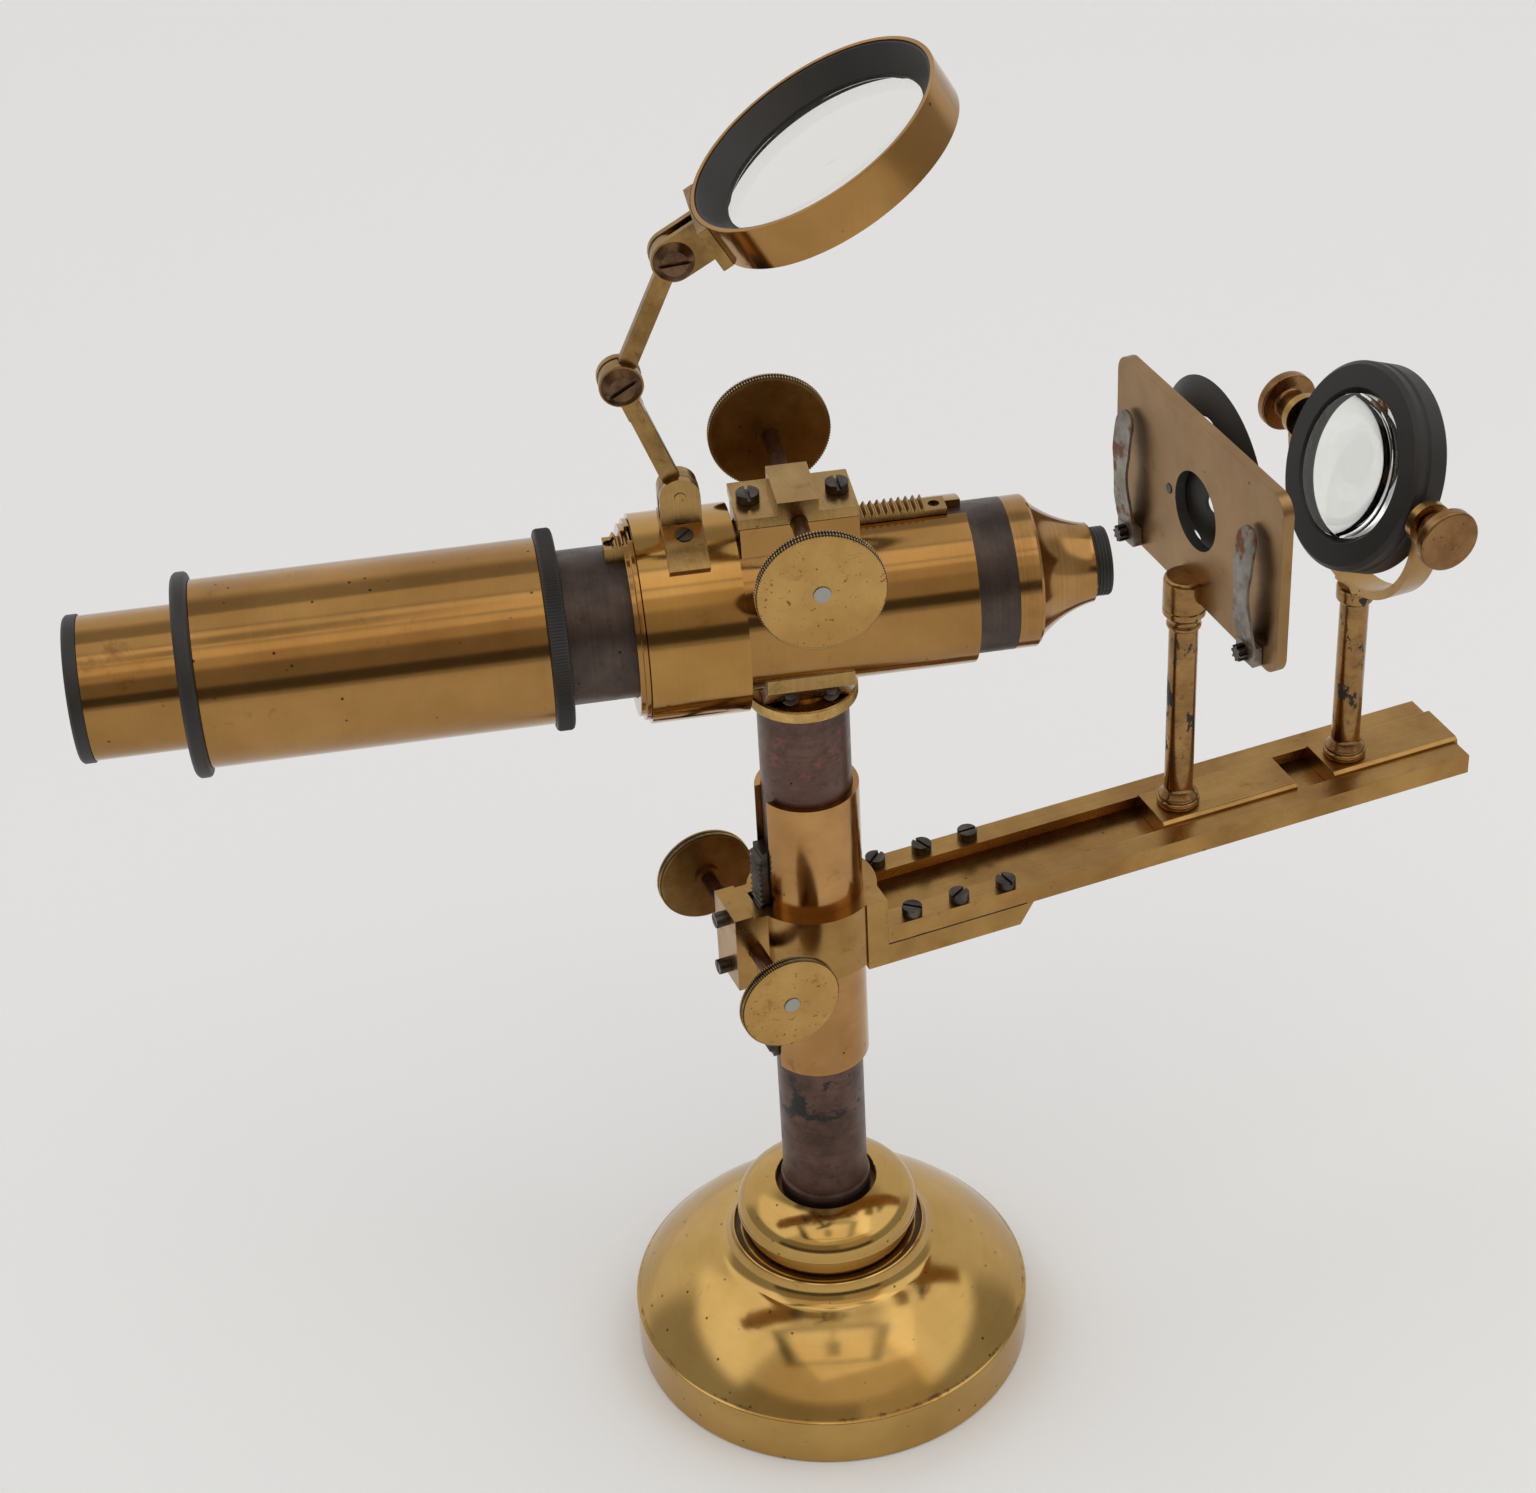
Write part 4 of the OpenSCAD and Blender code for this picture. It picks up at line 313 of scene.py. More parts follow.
def turned(outline, steps):
    """A piece as a lathe makes it: an outline of (radius, height) in mm, spun round Z."""
    bm = bmesh.new()
    points = [bm.verts.new((r * MM, 0, z * MM)) for r, z in outline]
    for a, b in zip(points, points[1:]):
        bm.edges.new((a, b))
    if outline[0][0] > 0:
        bm.edges.new((points[-1], points[0]))
    bmesh.ops.spin(bm, geom=bm.verts[:] + bm.edges[:], axis=(0, 0, 1), angle=math.tau, steps=steps,
                   use_merge=True)
    bmesh.ops.remove_doubles(bm, verts=bm.verts, dist=0.001 * MM)
    bmesh.ops.recalc_face_normals(bm, faces=bm.faces)
    return bm


def finished(bm, name, body, material, stands_for, place=None):
    """Puts a mesh in its place as a piece that rides on a CAD body and stands for CAD nodes."""
    if place is not None:
        bmesh.ops.transform(bm, matrix=place, verts=bm.verts)
    for face in bm.faces:
        face.smooth = True
    for edge in bm.edges:
        edge.smooth = len(edge.link_faces) == 2 and edge.calc_face_angle(0) < math.radians(30)
    mesh = bpy.data.meshes.new(name)
    bm.to_mesh(mesh)
    bm.free()
    mesh.materials.append(material)
    piece = bpy.data.objects.new(name, mesh)
    scene.collection.objects.link(piece)
    flat = piece.modifiers.new("flat faces", "WEIGHTED_NORMAL")
    flat.keep_sharp = True
    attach(piece, body)
    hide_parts(*stands_for)
    return piece


base_r, rim_top = 60.0, 16.2
recess_in_r, recess_out_r, recess_z = 18.3, 53, 3
neck_r, neck_z = 32.8, 35.8
groove_r, groove_z, groove_floor_z = 28.9, 42.3, 41.3
boss_wall_r, boss_lip_r, boss_lip_z = 26.3, 27.1, 49.3
crown_end_r, crown_end_z = 23.7, 56.1
mouth_r, mouth_depth, boss_top_z = 15.0, 4, 60.2
socket_r, socket_z = 12.62, 32.2
base_outline = [(0, 0), (recess_in_r, 0), (recess_in_r, recess_z), (recess_out_r, recess_z)]
base_outline += [(recess_out_r, 0)]
base_outline += arc((base_r - 0.8, 0), (base_r, 0.8), -0.23, 3)
base_outline += arc((base_r, rim_top - 0.5), (base_r - 0.5, rim_top + 0.1), -0.12, 3)
base_outline += arc((base_r - 0.9, rim_top + 0.5), (neck_r + 0.9, neck_z - 0.3), -2.25, 24)
base_outline += arc((neck_r, neck_z + 0.1), (groove_r, groove_z), 0.98, 12)
base_outline += [(groove_r - 0.3, groove_z + 0.2), (groove_r - 0.5, groove_z)]
base_outline += [(groove_r - 0.5, groove_floor_z), (boss_wall_r, groove_floor_z)]
base_outline += [(boss_wall_r, boss_lip_z - 0.9), (boss_wall_r + 0.2, boss_lip_z - 0.6)]
base_outline += arc((boss_lip_r - 0.2, boss_lip_z - 0.5), (boss_lip_r, boss_lip_z - 0.05), -0.12, 4)
base_outline += arc((boss_lip_r - 0.1, boss_lip_z + 0.3), (crown_end_r, crown_end_z), -0.92, 14)
base_outline += arc((crown_end_r, crown_end_z), (mouth_r + 0.3, boss_top_z - 0.06), -0.42, 12)[1:]
base_outline += [(mouth_r, boss_top_z - 0.2), (mouth_r, boss_top_z - mouth_depth)]
base_outline += [(socket_r, boss_top_z - mouth_depth), (socket_r, socket_z), (0, socket_z)]
# Brass polished almost to a mirror under clear lacquer: it shows the lights of the room with
# soft edges, yellow where it's clean and brown where polish and dirt stay in the corners.
polished_brass = worn_metal("polished_turned_brass", "#c09c5c", "#b08d50", "#6d4d26", 0.12, drift_mm=34,
                            line_mm=0.5, line_tone=0.06, stain_share=0.25, pits=2.2,
                            depth_mm=0.0005)
in_groove = ring_mask(boss_wall_r + 0.2, groove_r - 0.2, 38, groove_z, 0.15)
round_pillar = ring_mask(0, mouth_r + 0.35, 50, 64, 0.3)
on_rim_edge = ring_mask(base_r - 2.6, base_r + 1, rim_top - 0.8, rim_top + 2.2, 1.4)
tarnished(polished_brass, "#57402a", 0.45, in_groove, 5, 0.78, 0.92)
tarnished(polished_brass, "#7a5a36", 0.45, round_pillar, 5, 0.78, 0.95)
tarnished(polished_brass, "#6a4a2a", 0.35, on_rim_edge, 8, 0.96, 1.12)
finished(turned(base_outline, 192), "round_base", "stand", polished_brass, ["base_shell"])

# The pillar. A drawn bronze tube, never lacquered, that hands and oil have turned purple-brown,
# with a small turned ring where it enters the base and a brass plug with the pivot at its top.
pillar_r, pillar_z0, pillar_z1 = 12.6, 32.4, 235.2
foot_ring_r, foot_ring_z0, foot_ring_z1 = 13.3, 56.3, 63.3
bore_r, bore_z = 10.9, 226
pillar_outline = [(0, pillar_z0), (pillar_r, pillar_z0), (pillar_r, foot_ring_z0)]
pillar_outline += [(foot_ring_r, foot_ring_z0), (foot_ring_r, foot_ring_z1 - 0.7)]
pillar_outline += [(foot_ring_r - 0.4, foot_ring_z1 - 0.1), (pillar_r, foot_ring_z1)]
pillar_outline += [(pillar_r, pillar_z1 - 0.5), (pillar_r - 0.5, pillar_z1)]
pillar_outline += [(bore_r, pillar_z1), (bore_r, bore_z), (0, bore_z)]
# Bare bronze, darkened by oil: a purple-brown satin that shows only broad, dim reflections, with
# a black patch low down and redder ones near the head.
dark_bronze = worn_metal("oiled_dark_bronze", "#6b5249", "#4d3d36", "#2a2321", 0.34, drift_mm=9, line_mm=0.8,
                         stain_share=0.6, pits=0.3, metallic=0.85)
tarnished(dark_bronze, "#2b2927", 0.45, ring_mask(0, 40, 88, 112, 5), 12, 1.0, 1.06)
tarnished(dark_bronze, "#7a4e47", 0.42, ring_mask(0, 40, 190, 236, 8), 9, 1.0, 1.14)
finished(turned(pillar_outline, 128), "pillar", "stand", dark_bronze, ["pillar_tube"])
# Brass straight from the machine: satin, lined by the tool, browner than the polished base.
plain_brass = worn_metal("machined_brass", "#ab8a56", "#967648", "#523b20", 0.24, drift_mm=16, line_mm=0.5,
                         line_axis="X", stain_share=0.4)


def eased(node, width, segments=2):
    """A copy of a CAD node with its sharp edges rounded by width in mm, as a file leaves them."""
    bm = bmesh.new()
    bm.from_mesh(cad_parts[node].data)
    bmesh.ops.remove_doubles(bm, verts=bm.verts, dist=0.002 * MM)
    bmesh.ops.dissolve_limit(bm, angle_limit=math.radians(0.4), verts=bm.verts, edges=bm.edges)
    sharp = [e for e in bm.edges if len(e.link_faces) == 2 and e.calc_face_angle(0) > math.radians(28)]
    bmesh.ops.bevel(bm, geom=sharp, offset=width * MM, offset_type="OFFSET", segments=segments, profile=0.5,
                    affect="EDGES", clamp_overlap=True, material=-1)
    return bm


def filed(node, width, name, body, material, segments=2):
    """A piece in the shape of a CAD node, with its sharp edges rounded by width in mm."""
    return finished(eased(node, width, segments), name, body, material, [node])


filed("pillar_head", 0.2, "head_pivot", "stand", plain_brass)

# The rack on the pillar. A straight steel rack, cut in a mill and screwed down one side of the
# pillar, black with old oil between its teeth.

# Steel dark with oil: almost black, with a dull grey sheen and brown where it has rusted.
oiled_steel = worn_metal("oiled_dark_steel", "#625a54", "#3f3a36", "#563522", 0.36, drift_mm=5,
                         stain_share=0.6, pit_mm=0.8)
filed("pillar_rack", 0.06, "pillar_rack_steel", "stand", oiled_steel, 1)

# The guide sleeve. A drawn brass tube, split down its left side for the rack, that slides on the
# pillar and is smooth from use.

# Worn, coppery brass: pinker than the castings, with soft reflections drawn out lengthwise.
coppery_brass = worn_metal("worn_coppery_brass", "#bb8f5a", "#a2784a", "#5f3f28", 0.17, drift_mm=24,
                           line_mm=0.4, pits=0.6, depth_mm=0.001, line_tone=0.08)
filed("guide_sleeve", 0.15, "slotted_sleeve", "bracket", coppery_brass)

# The bracket. A brass casting, filed and polished: a collar that grips the sleeve, the seat of
# the pinion at its left, and the arm that carries the rail.

# Cast brass, filed by hand: uneven in tone, so its flat sides gleam softly and reflect no shapes.
cast_brass = worn_metal("filed_cast_brass", "#ad8850", "#957141", "#4f3920", 0.22, drift_mm=16,
                        pits=0.7)
filed("bracket", 0.3, "bracket_casting", "bracket", cast_brass)
filed("pinion_cap", 0.35, "pinion_cap_block", "bracket", cast_brass)
filed("pinion_cap_screws", 0.12, "cap_screws", "bracket", oiled_steel, 1)

# The rail. One long brass bar, planed, with a dovetail groove along its top, held to the arm by
# six cheese-head steel screws.

# Planed brass: fine lines across the bar, dull and brown, and a dark seam of dirt along the arm.
planed_brass = worn_metal("planed_brass", "#ab864e", "#956f40", "#4f3b24", 0.27, drift_mm=22, line_mm=0.35,
                          line_axis="Y", stain_share=0.4)
seam_z, arm_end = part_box("rail")[0].z / MM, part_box("bracket")[1].x / MM
on_seam = ring_mask(0, arm_end, seam_z - 0.5, seam_z + 0.5, 0.15)
tarnished(planed_brass, "#2b2118", 0.6, on_seam, 6, 0.8, 0.9)
filed("rail", 0.25, "dovetail_rail", "bracket", planed_brass)
filed("rail_screws", 0.15, "rail_screw_set", "bracket", oiled_steel, 1)


# The lower pinion. A steel shaft with its teeth in the middle, and a thin brass knob on each end,
# double knurled round its rim.
def knurl(bm, low, high, radius, depth, steps):
    """Presses every second line of a rim in by depth, between two heights, all in mm."""
    for v in bm.verts:
        r = math.hypot(v.co.x, v.co.y)
        line = round(math.atan2(v.co.y, v.co.x) / math.tau * steps)
        if low * MM < v.co.z < high * MM and r > (radius - 0.3) * MM and line % 2:
            v.co.x *= 1 - depth * MM / r
            v.co.y *= 1 - depth * MM / r


knurl_depth = 0.34
knob_thick, knob_steps = 3.2, 260
knob_bore_r, knob_hub_r, knob_hub_height = 2.22, 3.8, 1.4
gap_depth, gap_half = 0.8, 0.22


def knob(radius, outer):
    """A knob whose face is at outer, with two knurled bands and a shallow cone for a face. Its rim,
    back and the gap between the bands carry material index 1, 2 and 3."""
    back, mid = outer - knob_thick, outer - knob_thick / 2
    outline = [(knob_bore_r, back - knob_hub_height), (knob_hub_r, back - knob_hub_height)]
    outline += [(knob_hub_r, back), (radius - 1.1, back), (radius - 0.8, back - 0.02)]
    outline += [(radius - 0.25, back + 0.15), (radius, back + 0.4), (radius, mid - gap_half - 0.06)]
    outline += [(radius - gap_depth, mid - gap_half), (radius - gap_depth, mid + gap_half)]
    outline += [(radius, mid + gap_half + 0.06), (radius, outer - 0.45), (radius - 0.25, outer - 0.2)]
    outline += [(radius - 0.9, outer - 0.12), (radius - 1.1, outer - 0.2)]
    outline += [(knob_bore_r + 0.18, outer + 0.25), (knob_bore_r, outer + 0.2)]
    bm = turned(outline, knob_steps)
    knurl(bm, back + 0.1, outer - 0.15, radius, knurl_depth, knob_steps)
    for face in bm.faces:
        middle = face.calc_center_median() / MM
        reach = math.hypot(middle.x, middle.y)
        if abs(middle.z - mid) < 0.27 and reach > radius - 1:
            face.material_index = 3
        elif reach > radius - 0.42 and abs(face.normal.z) < 0.9:
            face.material_index = 1
        elif middle.z < mid:
            face.material_index = 2
    return bm


def joined(shapes):
    """One mesh of several."""
    whole = bmesh.new()
    for shape in shapes:
        spare = bpy.data.meshes.new("spare")
        shape.to_mesh(spare)
        shape.free()
        whole.from_mesh(spare)
        bpy.data.meshes.remove(spare)
    return whole


def back_to_back(near, far):
    """One mesh of two upright shapes laid down along Y, near to the front and far to the back."""
    for shape, side in ((near, 90), (far, -90)):
        bmesh.ops.transform(shape, matrix=Matrix.Rotation(math.radians(side), 4, "X"), verts=shape.verts)
    return joined([near, far])


def knurled_brass(name, radius, place):
    """Knurled brass: its teeth catch the light as bright, close lines, and dark dirt with painted shade
    fills the gaps between them. They are cut into a rim of this radius in mm, round the Y axis of place."""
    material = worn_metal(name, "#cda86c", "#b18b53", "#4a3521", 0.26, drift_mm=5, stain_share=0.5)
    axis = place.to_3x3() @ Vector((0, 1, 0))
    # Painted shade and dirt: the knurl valleys are coloured dark so the gaps read dark between the teeth.
    dirt_and_shade_in_gaps = ring_mask(radius - 0.75, radius - 0.12, -60, 60, 0.04, place.translation, axis)
    return tarnished(material, "#33261a", 0.5, dirt_and_shade_in_gaps, 5, 0.74, 0.86)


# The face is turned and rubbed by fingers: a soft, pale gleam with small orange-brown freckles.
knob_brass = worn_metal("turned_knob_brass", "#c0995c", "#aa844b", "#6a4424", 0.22, drift_mm=18,
                        stain_share=0.4, pits=2.2, pit_mm=0.9)
tarnished(knob_brass, "#7c4f2c", 0.5, everywhere, 1.7, 0.6, 0.68)
# The back was never polished: a matt brown that hardly reflects.
back_brass = worn_metal("dull_knob_back_brass", "#8f6f43", "#765930", "#5a4226", 0.38, drift_mm=9,
                        stain_share=0.5, pits=0.8)
# Old dirt packed between the bands, with painted shade in the deep, narrow gap: a matt, dark line.
gap_dirt_and_shade = worn_metal("groove_dirt_and_painted_shade", "#2e241a", "#241c15", "#191512", 0.6, drift_mm=4, metallic=0.3)


def knob_pair(name, node, body, radius, near, far, place):
    """Two knobs on one shaft along Y, whose faces are near and far mm from the middle at place."""
    knobs = back_to_back(knob(radius, near), knob(radius, far))
    pair = finished(knobs, name, body, knob_brass, [node], place)
    for material in (knurled_brass(name + "_rim_brass", radius, place), back_brass, gap_dirt_and_shade):
        pair.data.materials.append(material)


def shaft_steel(name, middle, axis, half):
    """Oiled steel, brown and half dull, whose ends, over half mm from the middle along axis, are
    ground bare and show as pale grey discs in the knobs."""
    material = worn_metal(name, "#6e4f3b", "#523a2c", "#33241b", 0.3, drift_mm=6, stain_share=0.5, pits=0.4,
                          pit_mm=0.8)
    tree = material.node_tree
    place = add(tree, "ShaderNodeTexCoord").outputs["Object"]
    offset = add(tree, "ShaderNodeVectorMath", {0: place, 1: middle}, operation="SUBTRACT")
    along = add(tree, "ShaderNodeVectorMath", {0: offset.outputs["Vector"], 1: axis}, operation="DOT_PRODUCT")
    away = add(tree, "ShaderNodeMath", {0: along.outputs["Value"]}, operation="ABSOLUTE")
    at_end = add(tree, "ShaderNodeMath", {0: away.outputs["Value"], 1: half * MM}, operation="GREATER_THAN")
    ground = add(tree, "ShaderNodeBsdfPrincipled", {"Base Color": srgb("#a3a19c"), "Metallic": 1.0,
                                                    "Roughness": 0.42})
    return overlaid(material, at_end.outputs["Value"], ground)


low_knob_r, low_knob_face = 14.4, 33.4
low_shaft_low, low_shaft_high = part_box("low_shaft")
low_middle = Matrix.Translation((low_shaft_low + low_shaft_high) / 2)
knob_pair("lower_knobs", "low_knobs", "low_pinion", low_knob_r, low_knob_face, low_knob_face, low_middle)
low_steel = shaft_steel("lower_shaft_steel", low_middle.translation, (0, 1, 0), low_knob_face - 0.1)
filed("low_shaft", 0.05, "lower_pinion", "low_pinion", low_steel, 1)

# The foot of the head. A knurled brass disc turns on the pivot of the pillar, and a brass saddle
# on it holds the body tube, with flat steel screws in its sloping sides.
head_turn = math.radians(-13.25)
axis_z = 265.4
on_tube = Matrix.Translation((0, 0, axis_z * MM)) @ Matrix.Rotation(head_turn, 4, "Z")
along_tube = on_tube @ Matrix.Rotation(math.radians(90), 4, "Y")
disc_r, disc_z0, disc_z1, disc_steps = 15.2, 235.3, 239.1, 240
disc_bore_r, disc_boss_r, disc_dish = 6.05, 9, 0.7
disc_outline = [(disc_bore_r, disc_z0), (disc_r - 0.6, disc_z0), (disc_r - 0.1, disc_z0 + 0.4)]
disc_outline += [(disc_r, disc_z0 + 0.7), (disc_r, disc_z1 - 0.6), (disc_r - 0.2, disc_z1 - 0.3)]
disc_outline += [(disc_r - 0.6, disc_z1), (disc_r - 1.3, disc_z1), (disc_r - 1.5, disc_z1 - disc_dish)]
disc_outline += [(disc_boss_r, disc_z1 - disc_dish), (disc_boss_r, disc_z1), (disc_bore_r, disc_z1)]
disc = turned(disc_outline, disc_steps)
knurl(disc, disc_z0 + 0.5, disc_z1 - 0.5, disc_r, knurl_depth, disc_steps)
disc_brass = knurled_brass("knurled_disc_brass", disc_r, Matrix.Rotation(math.radians(90), 4, "X"))
finished(disc, "knurled_disc", "head", disc_brass, ["head_disc"])
filed("saddle", 0.25, "tube_saddle", "head", plain_brass)
filed("saddle_screws", 0.05, "saddle_screw_set", "head", oiled_steel, 1)

# The body tube. A thick brass tube, turned and brushed along its length, with a wide bearing for
# the magnifier's collar, the seat of the upper pinion brazed on, and a stepped end ring.

# Brass under old golden lacquer: warm and glossy, so the lights run along it as bright bands.
body_brass = worn_metal("lacquered_tube_brass", "#aa814b", "#997140", "#623f26", 0.11, drift_mm=34,
                        line_mm=0.35, line_axis="X", line_turn=-head_turn, stain_share=0.3, pits=0.8,
                        depth_mm=0.0003, line_tone=0.06)
filed("body_tube", 0.2, "body_tube_brass", "head", body_brass)
filed("body_end_ring", 0.2, "end_ring", "head", body_brass)
filed("pinion_plate", 0.3, "pinion_plate_brass", "head", plain_brass)
filed("pinion_plate_screws", 0.15, "plate_screws", "head", oiled_steel, 1)

# The focusing pinion. The same steel shaft with larger knobs, lying across the top of the tube.
# It shares the brass and the steel of the lower pinion.
up_knob_r, up_near_face, up_far_face, up_shaft_end = 16.8, 44.4, 41, 42.7
up_shaft_low, up_shaft_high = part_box("up_shaft")
up_turn = Matrix.Rotation(head_turn, 4, "Z")
up_middle = Matrix.Translation((0, 0, (up_shaft_low.z + up_shaft_high.z) / 2)) @ up_turn
knob_pair("focusing_knobs", "up_knobs", "up_pinion", up_knob_r, up_near_face, up_far_face, up_middle)
up_axis = (-math.sin(head_turn), math.cos(head_turn), 0)
up_steel = shaft_steel("focusing_shaft_steel", (up_shaft_low + up_shaft_high) / 2, up_axis, up_shaft_end)
filed("up_shaft", 0.05, "focusing_pinion", "up_pinion", up_steel, 1)

# The focusing tube and its rack. The tube is dark bronze like the pillar, rubbed where it slides
# in the body, and the brass rack is screwed along its top.

# Rubbed bronze: greyer than the pillar, with long, faint lines from sliding.
tube_bronze = worn_metal("rubbed_tube_bronze", "#574a43", "#403733", "#292423", 0.36, drift_mm=12,
                         line_mm=0.5, line_axis="X", line_turn=-head_turn, stain_share=0.5, pits=0.4,
                         metallic=0.8)
filed("focus_tube", 0.15, "focusing_tube", "optical_tube", tube_bronze)
filed("focus_rack", 0.06, "focusing_rack", "optical_tube", plain_brass, 1)
filed("focus_rack_screws", 0.05, "rack_screws", "optical_tube", oiled_steel, 1)

# The draw sleeve. A drawn brass tube with warm, worn lacquer, closed by a black knurled ring at
# its right and a black flange at its left.
filed("draw_sleeve", 0.15, "draw_sleeve_brass", "optical_tube", body_brass)


def black_lacquer(name):
    """Black lacquer over brass: a dull, dusty black with soft highlights, rubbed through to brown
    metal in small patches."""
    material, tree, out, place = new_material(name)
    patches = add(tree, "ShaderNodeTexNoise", {"Vector": place, "Scale": 1 / (3 * MM), "Detail": 6.0,
                                               "Roughness": 0.7})
    rubbed = add(tree, "ShaderNodeMapRange", {"Value": patches.outputs["Fac"], "From Min": 0.695,
                                              "From Max": 0.82, "To Max": 0.7})
    dust = add(tree, "ShaderNodeTexNoise", {"Vector": place, "Scale": 1 / (9 * MM), "Detail": 5.0})
    dusty = add(tree, "ShaderNodeMix", {"Factor": dust.outputs["Fac"], "A": srgb("#171513"),
                                        "B": srgb("#2d2925")}, data_type="RGBA")
    colour = add(tree, "ShaderNodeMix", {"Factor": rubbed.outputs["Result"], "A": dusty.outputs["Result"],
                                         "B": srgb("#5e4c38")}, data_type="RGBA")
    rough = add(tree, "ShaderNodeMapRange", {"Value": dust.outputs["Fac"], "To Min": 0.42, "To Max": 0.62})
    bump = add(tree, "ShaderNodeBump", {"Height": patches.outputs["Fac"], "Strength": 0.2,
                                        "Distance": 0.03 * MM})
    shader = add(tree, "ShaderNodeBsdfPrincipled", {
        "Base Color": colour.outputs["Result"], "Roughness": rough.outputs["Result"],
        "Normal": bump.outputs["Normal"]})
    tree.links.new(shader.outputs["BSDF"], out.inputs["Surface"])
    return material


lacquer = black_lacquer("worn_black_lacquer")
spigot_r = 23.18
ring_x0, ring_x1, ring_r, ring_bore_r, ring_spigot, ring_steps = -67.4, -62.4, 26.7, 20.42, 5, 400
ring_outline = [(ring_bore_r, ring_x0 - ring_spigot), (spigot_r, ring_x0 - ring_spigot), (spigot_r, ring_x0)]
ring_outline += [(ring_r - 1.2, ring_x0), (ring_r - 0.4, ring_x0 + 0.3), (ring_r, ring_x0 + 1.0)]
ring_outline += [(ring_r, ring_x1 - 1.0), (ring_r - 0.4, ring_x1 - 0.3), (ring_r - 1.2, ring_x1)]
black_ring = turned(ring_outline + [(ring_bore_r, ring_x1)], ring_steps)
knurl(black_ring, ring_x0 + 0.5, ring_x1 - 0.5, ring_r, 0.28, ring_steps)
finished(black_ring, "black_knurled_ring", "optical_tube", lacquer, ["sleeve_ring"],
         along_tube)
flange_x0, flange_x1, flange_r, flange_bore_r, flange_spigot = -161.2, -156.82, 26.9, 18.95, 9
flange_outline = [(flange_bore_r, flange_x0), (flange_r - 2.6, flange_x0)]
flange_outline += arc((flange_r - 2.4, flange_x0), (flange_r, flange_x0 + 1.4), -0.5, 6)
flange_outline += arc((flange_r, flange_x1 - 1.4), (flange_r - 1.2, flange_x1), -0.4, 6)
flange_outline += [(spigot_r, flange_x1), (spigot_r, flange_x1 + flange_spigot)]
flange_outline += [(flange_bore_r, flange_x1 + flange_spigot)]
finished(turned(flange_outline, 160), "black_flange", "optical_tube", lacquer,
         ["eye_flange"], along_tube)

# The nose. A brass ring and a hollow-sided cone, turned from one piece, with the black ribbed
# mount of the objective in its tip.
nose_x0, nose_bore_r, nose_r = 55.82, 18, 20.4
cone_x0, cone_x1, cone_base_r, cone_tip_r = 62.4, 78.8, 19.2, 10.7
tip_bore_r, tip_bore_depth = 8.62, 8
nose_outline = [(nose_bore_r, nose_x0), (nose_r, nose_x0), (nose_r, cone_x0 - 0.7), (nose_r - 0.5, cone_x0)]
nose_outline += [(cone_base_r, cone_x0)]
nose_outline += arc((cone_base_r, cone_x0 + 0.1), (cone_tip_r, cone_x1 - 0.7), 1.3, 18)
nose_outline += [(cone_tip_r, cone_x1 - 0.3), (cone_tip_r - 0.3, cone_x1), (tip_bore_r, cone_x1)]
nose_outline += [(tip_bore_r, cone_x1 - tip_bore_depth), (nose_bore_r, nose_x0 + 1)]
# Turned brass with thin lacquer: the hollow side gathers the lights into narrow, warm bands.
nose_brass = worn_metal("turned_nose_brass", "#ab834f", "#966e3f", "#613f24", 0.13, drift_mm=18, line_mm=0.4,
                        line_axis="X", line_turn=-head_turn, stain_share=0.4, pits=0.4)
finished(turned(nose_outline, 128), "nose_cone_brass", "optical_tube", nose_brass,
         ["nose_cone"], along_tube)
filed("objective_tip", 0.06, "objective_mount", "optical_tube", lacquer, 1)


def ground_glass(name, tint, bends):
    """Optical glass, ground and polished by hand: clear, with a faint tint and a little haze. It
    bends what is seen through it by its index, bends."""
    material, tree, out, place = new_material(name)
    haze = add(tree, "ShaderNodeTexNoise", {"Vector": place, "Scale": 1 / (6 * MM), "Detail": 4.0})
    rough = add(tree, "ShaderNodeMapRange", {"Value": haze.outputs["Fac"], "From Min": 0.5, "From Max": 0.8,
                                             "To Max": 0.05})
    shader = add(tree, "ShaderNodeBsdfPrincipled", {
        "Base Color": srgb(tint), "IOR": bends, "Roughness": rough.outputs["Result"],
        "Transmission Weight": 1.0})
    tree.links.new(shader.outputs["BSDF"], out.inputs["Surface"])
    return material


def glazed(node, glass):
    """Gives a lens of the CAD its glass."""
    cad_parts[node].data.materials.clear()
    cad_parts[node].data.materials.append(glass)


clear_glass = ground_glass("clear_crown_glass", "#f6f8f4", 1.52)
for lens in ("objective_lens", "eye_lens", "field_lens"):
    glazed(lens, clear_glass)

# The eyepiece. A brass tube that slides in the flange, with a black cap round its eye hole. It
# has the lacquered brass of the sleeve.
filed("eye_tube", 0.12, "eyepiece_tube", "eyepiece", body_brass)
filed("eye_cap", 0.25, "eyepiece_cap", "eyepiece", lacquer)

# The magnifier's collar. A wide brass ring that turns on the bearing of the body, with a curved
# plate screwed on that carries the forked lug.

# Polished, lacquered brass, rubbed by hands: yellower and clearer in its bands than the tube.
collar_brass = worn_metal("polished_collar_brass", "#b58b4e", "#a37b43", "#604222", 0.1, drift_mm=34,
                          line_mm=0.35, line_axis="X", line_turn=-head_turn, stain_share=0.25, pits=0.6,
                          depth_mm=0.0003, line_tone=0.06)
filed("loupe_collar", 0.25, "magnifier_collar", "loupe_mount", collar_brass)
filed("loupe_bracket", 0.08, "collar_lug", "loupe_mount", plain_brass, 1)
filed("loupe_bracket_screw", 0.08, "lug_screw", "loupe_mount", oiled_steel, 1)

# The jointed arm. Two flat brass links with round eyes and forks, held by conical slotted screws
# that clamp the joints.

# Brass that is handled a lot: brown and patchy, with a low gleam on its edges.
arm_brass = worn_metal("handled_arm_brass", "#9c7c4c", "#7f6139", "#3f2d1c", 0.26, drift_mm=9,
                       stain_share=0.55, pits=0.8, pit_mm=0.9)
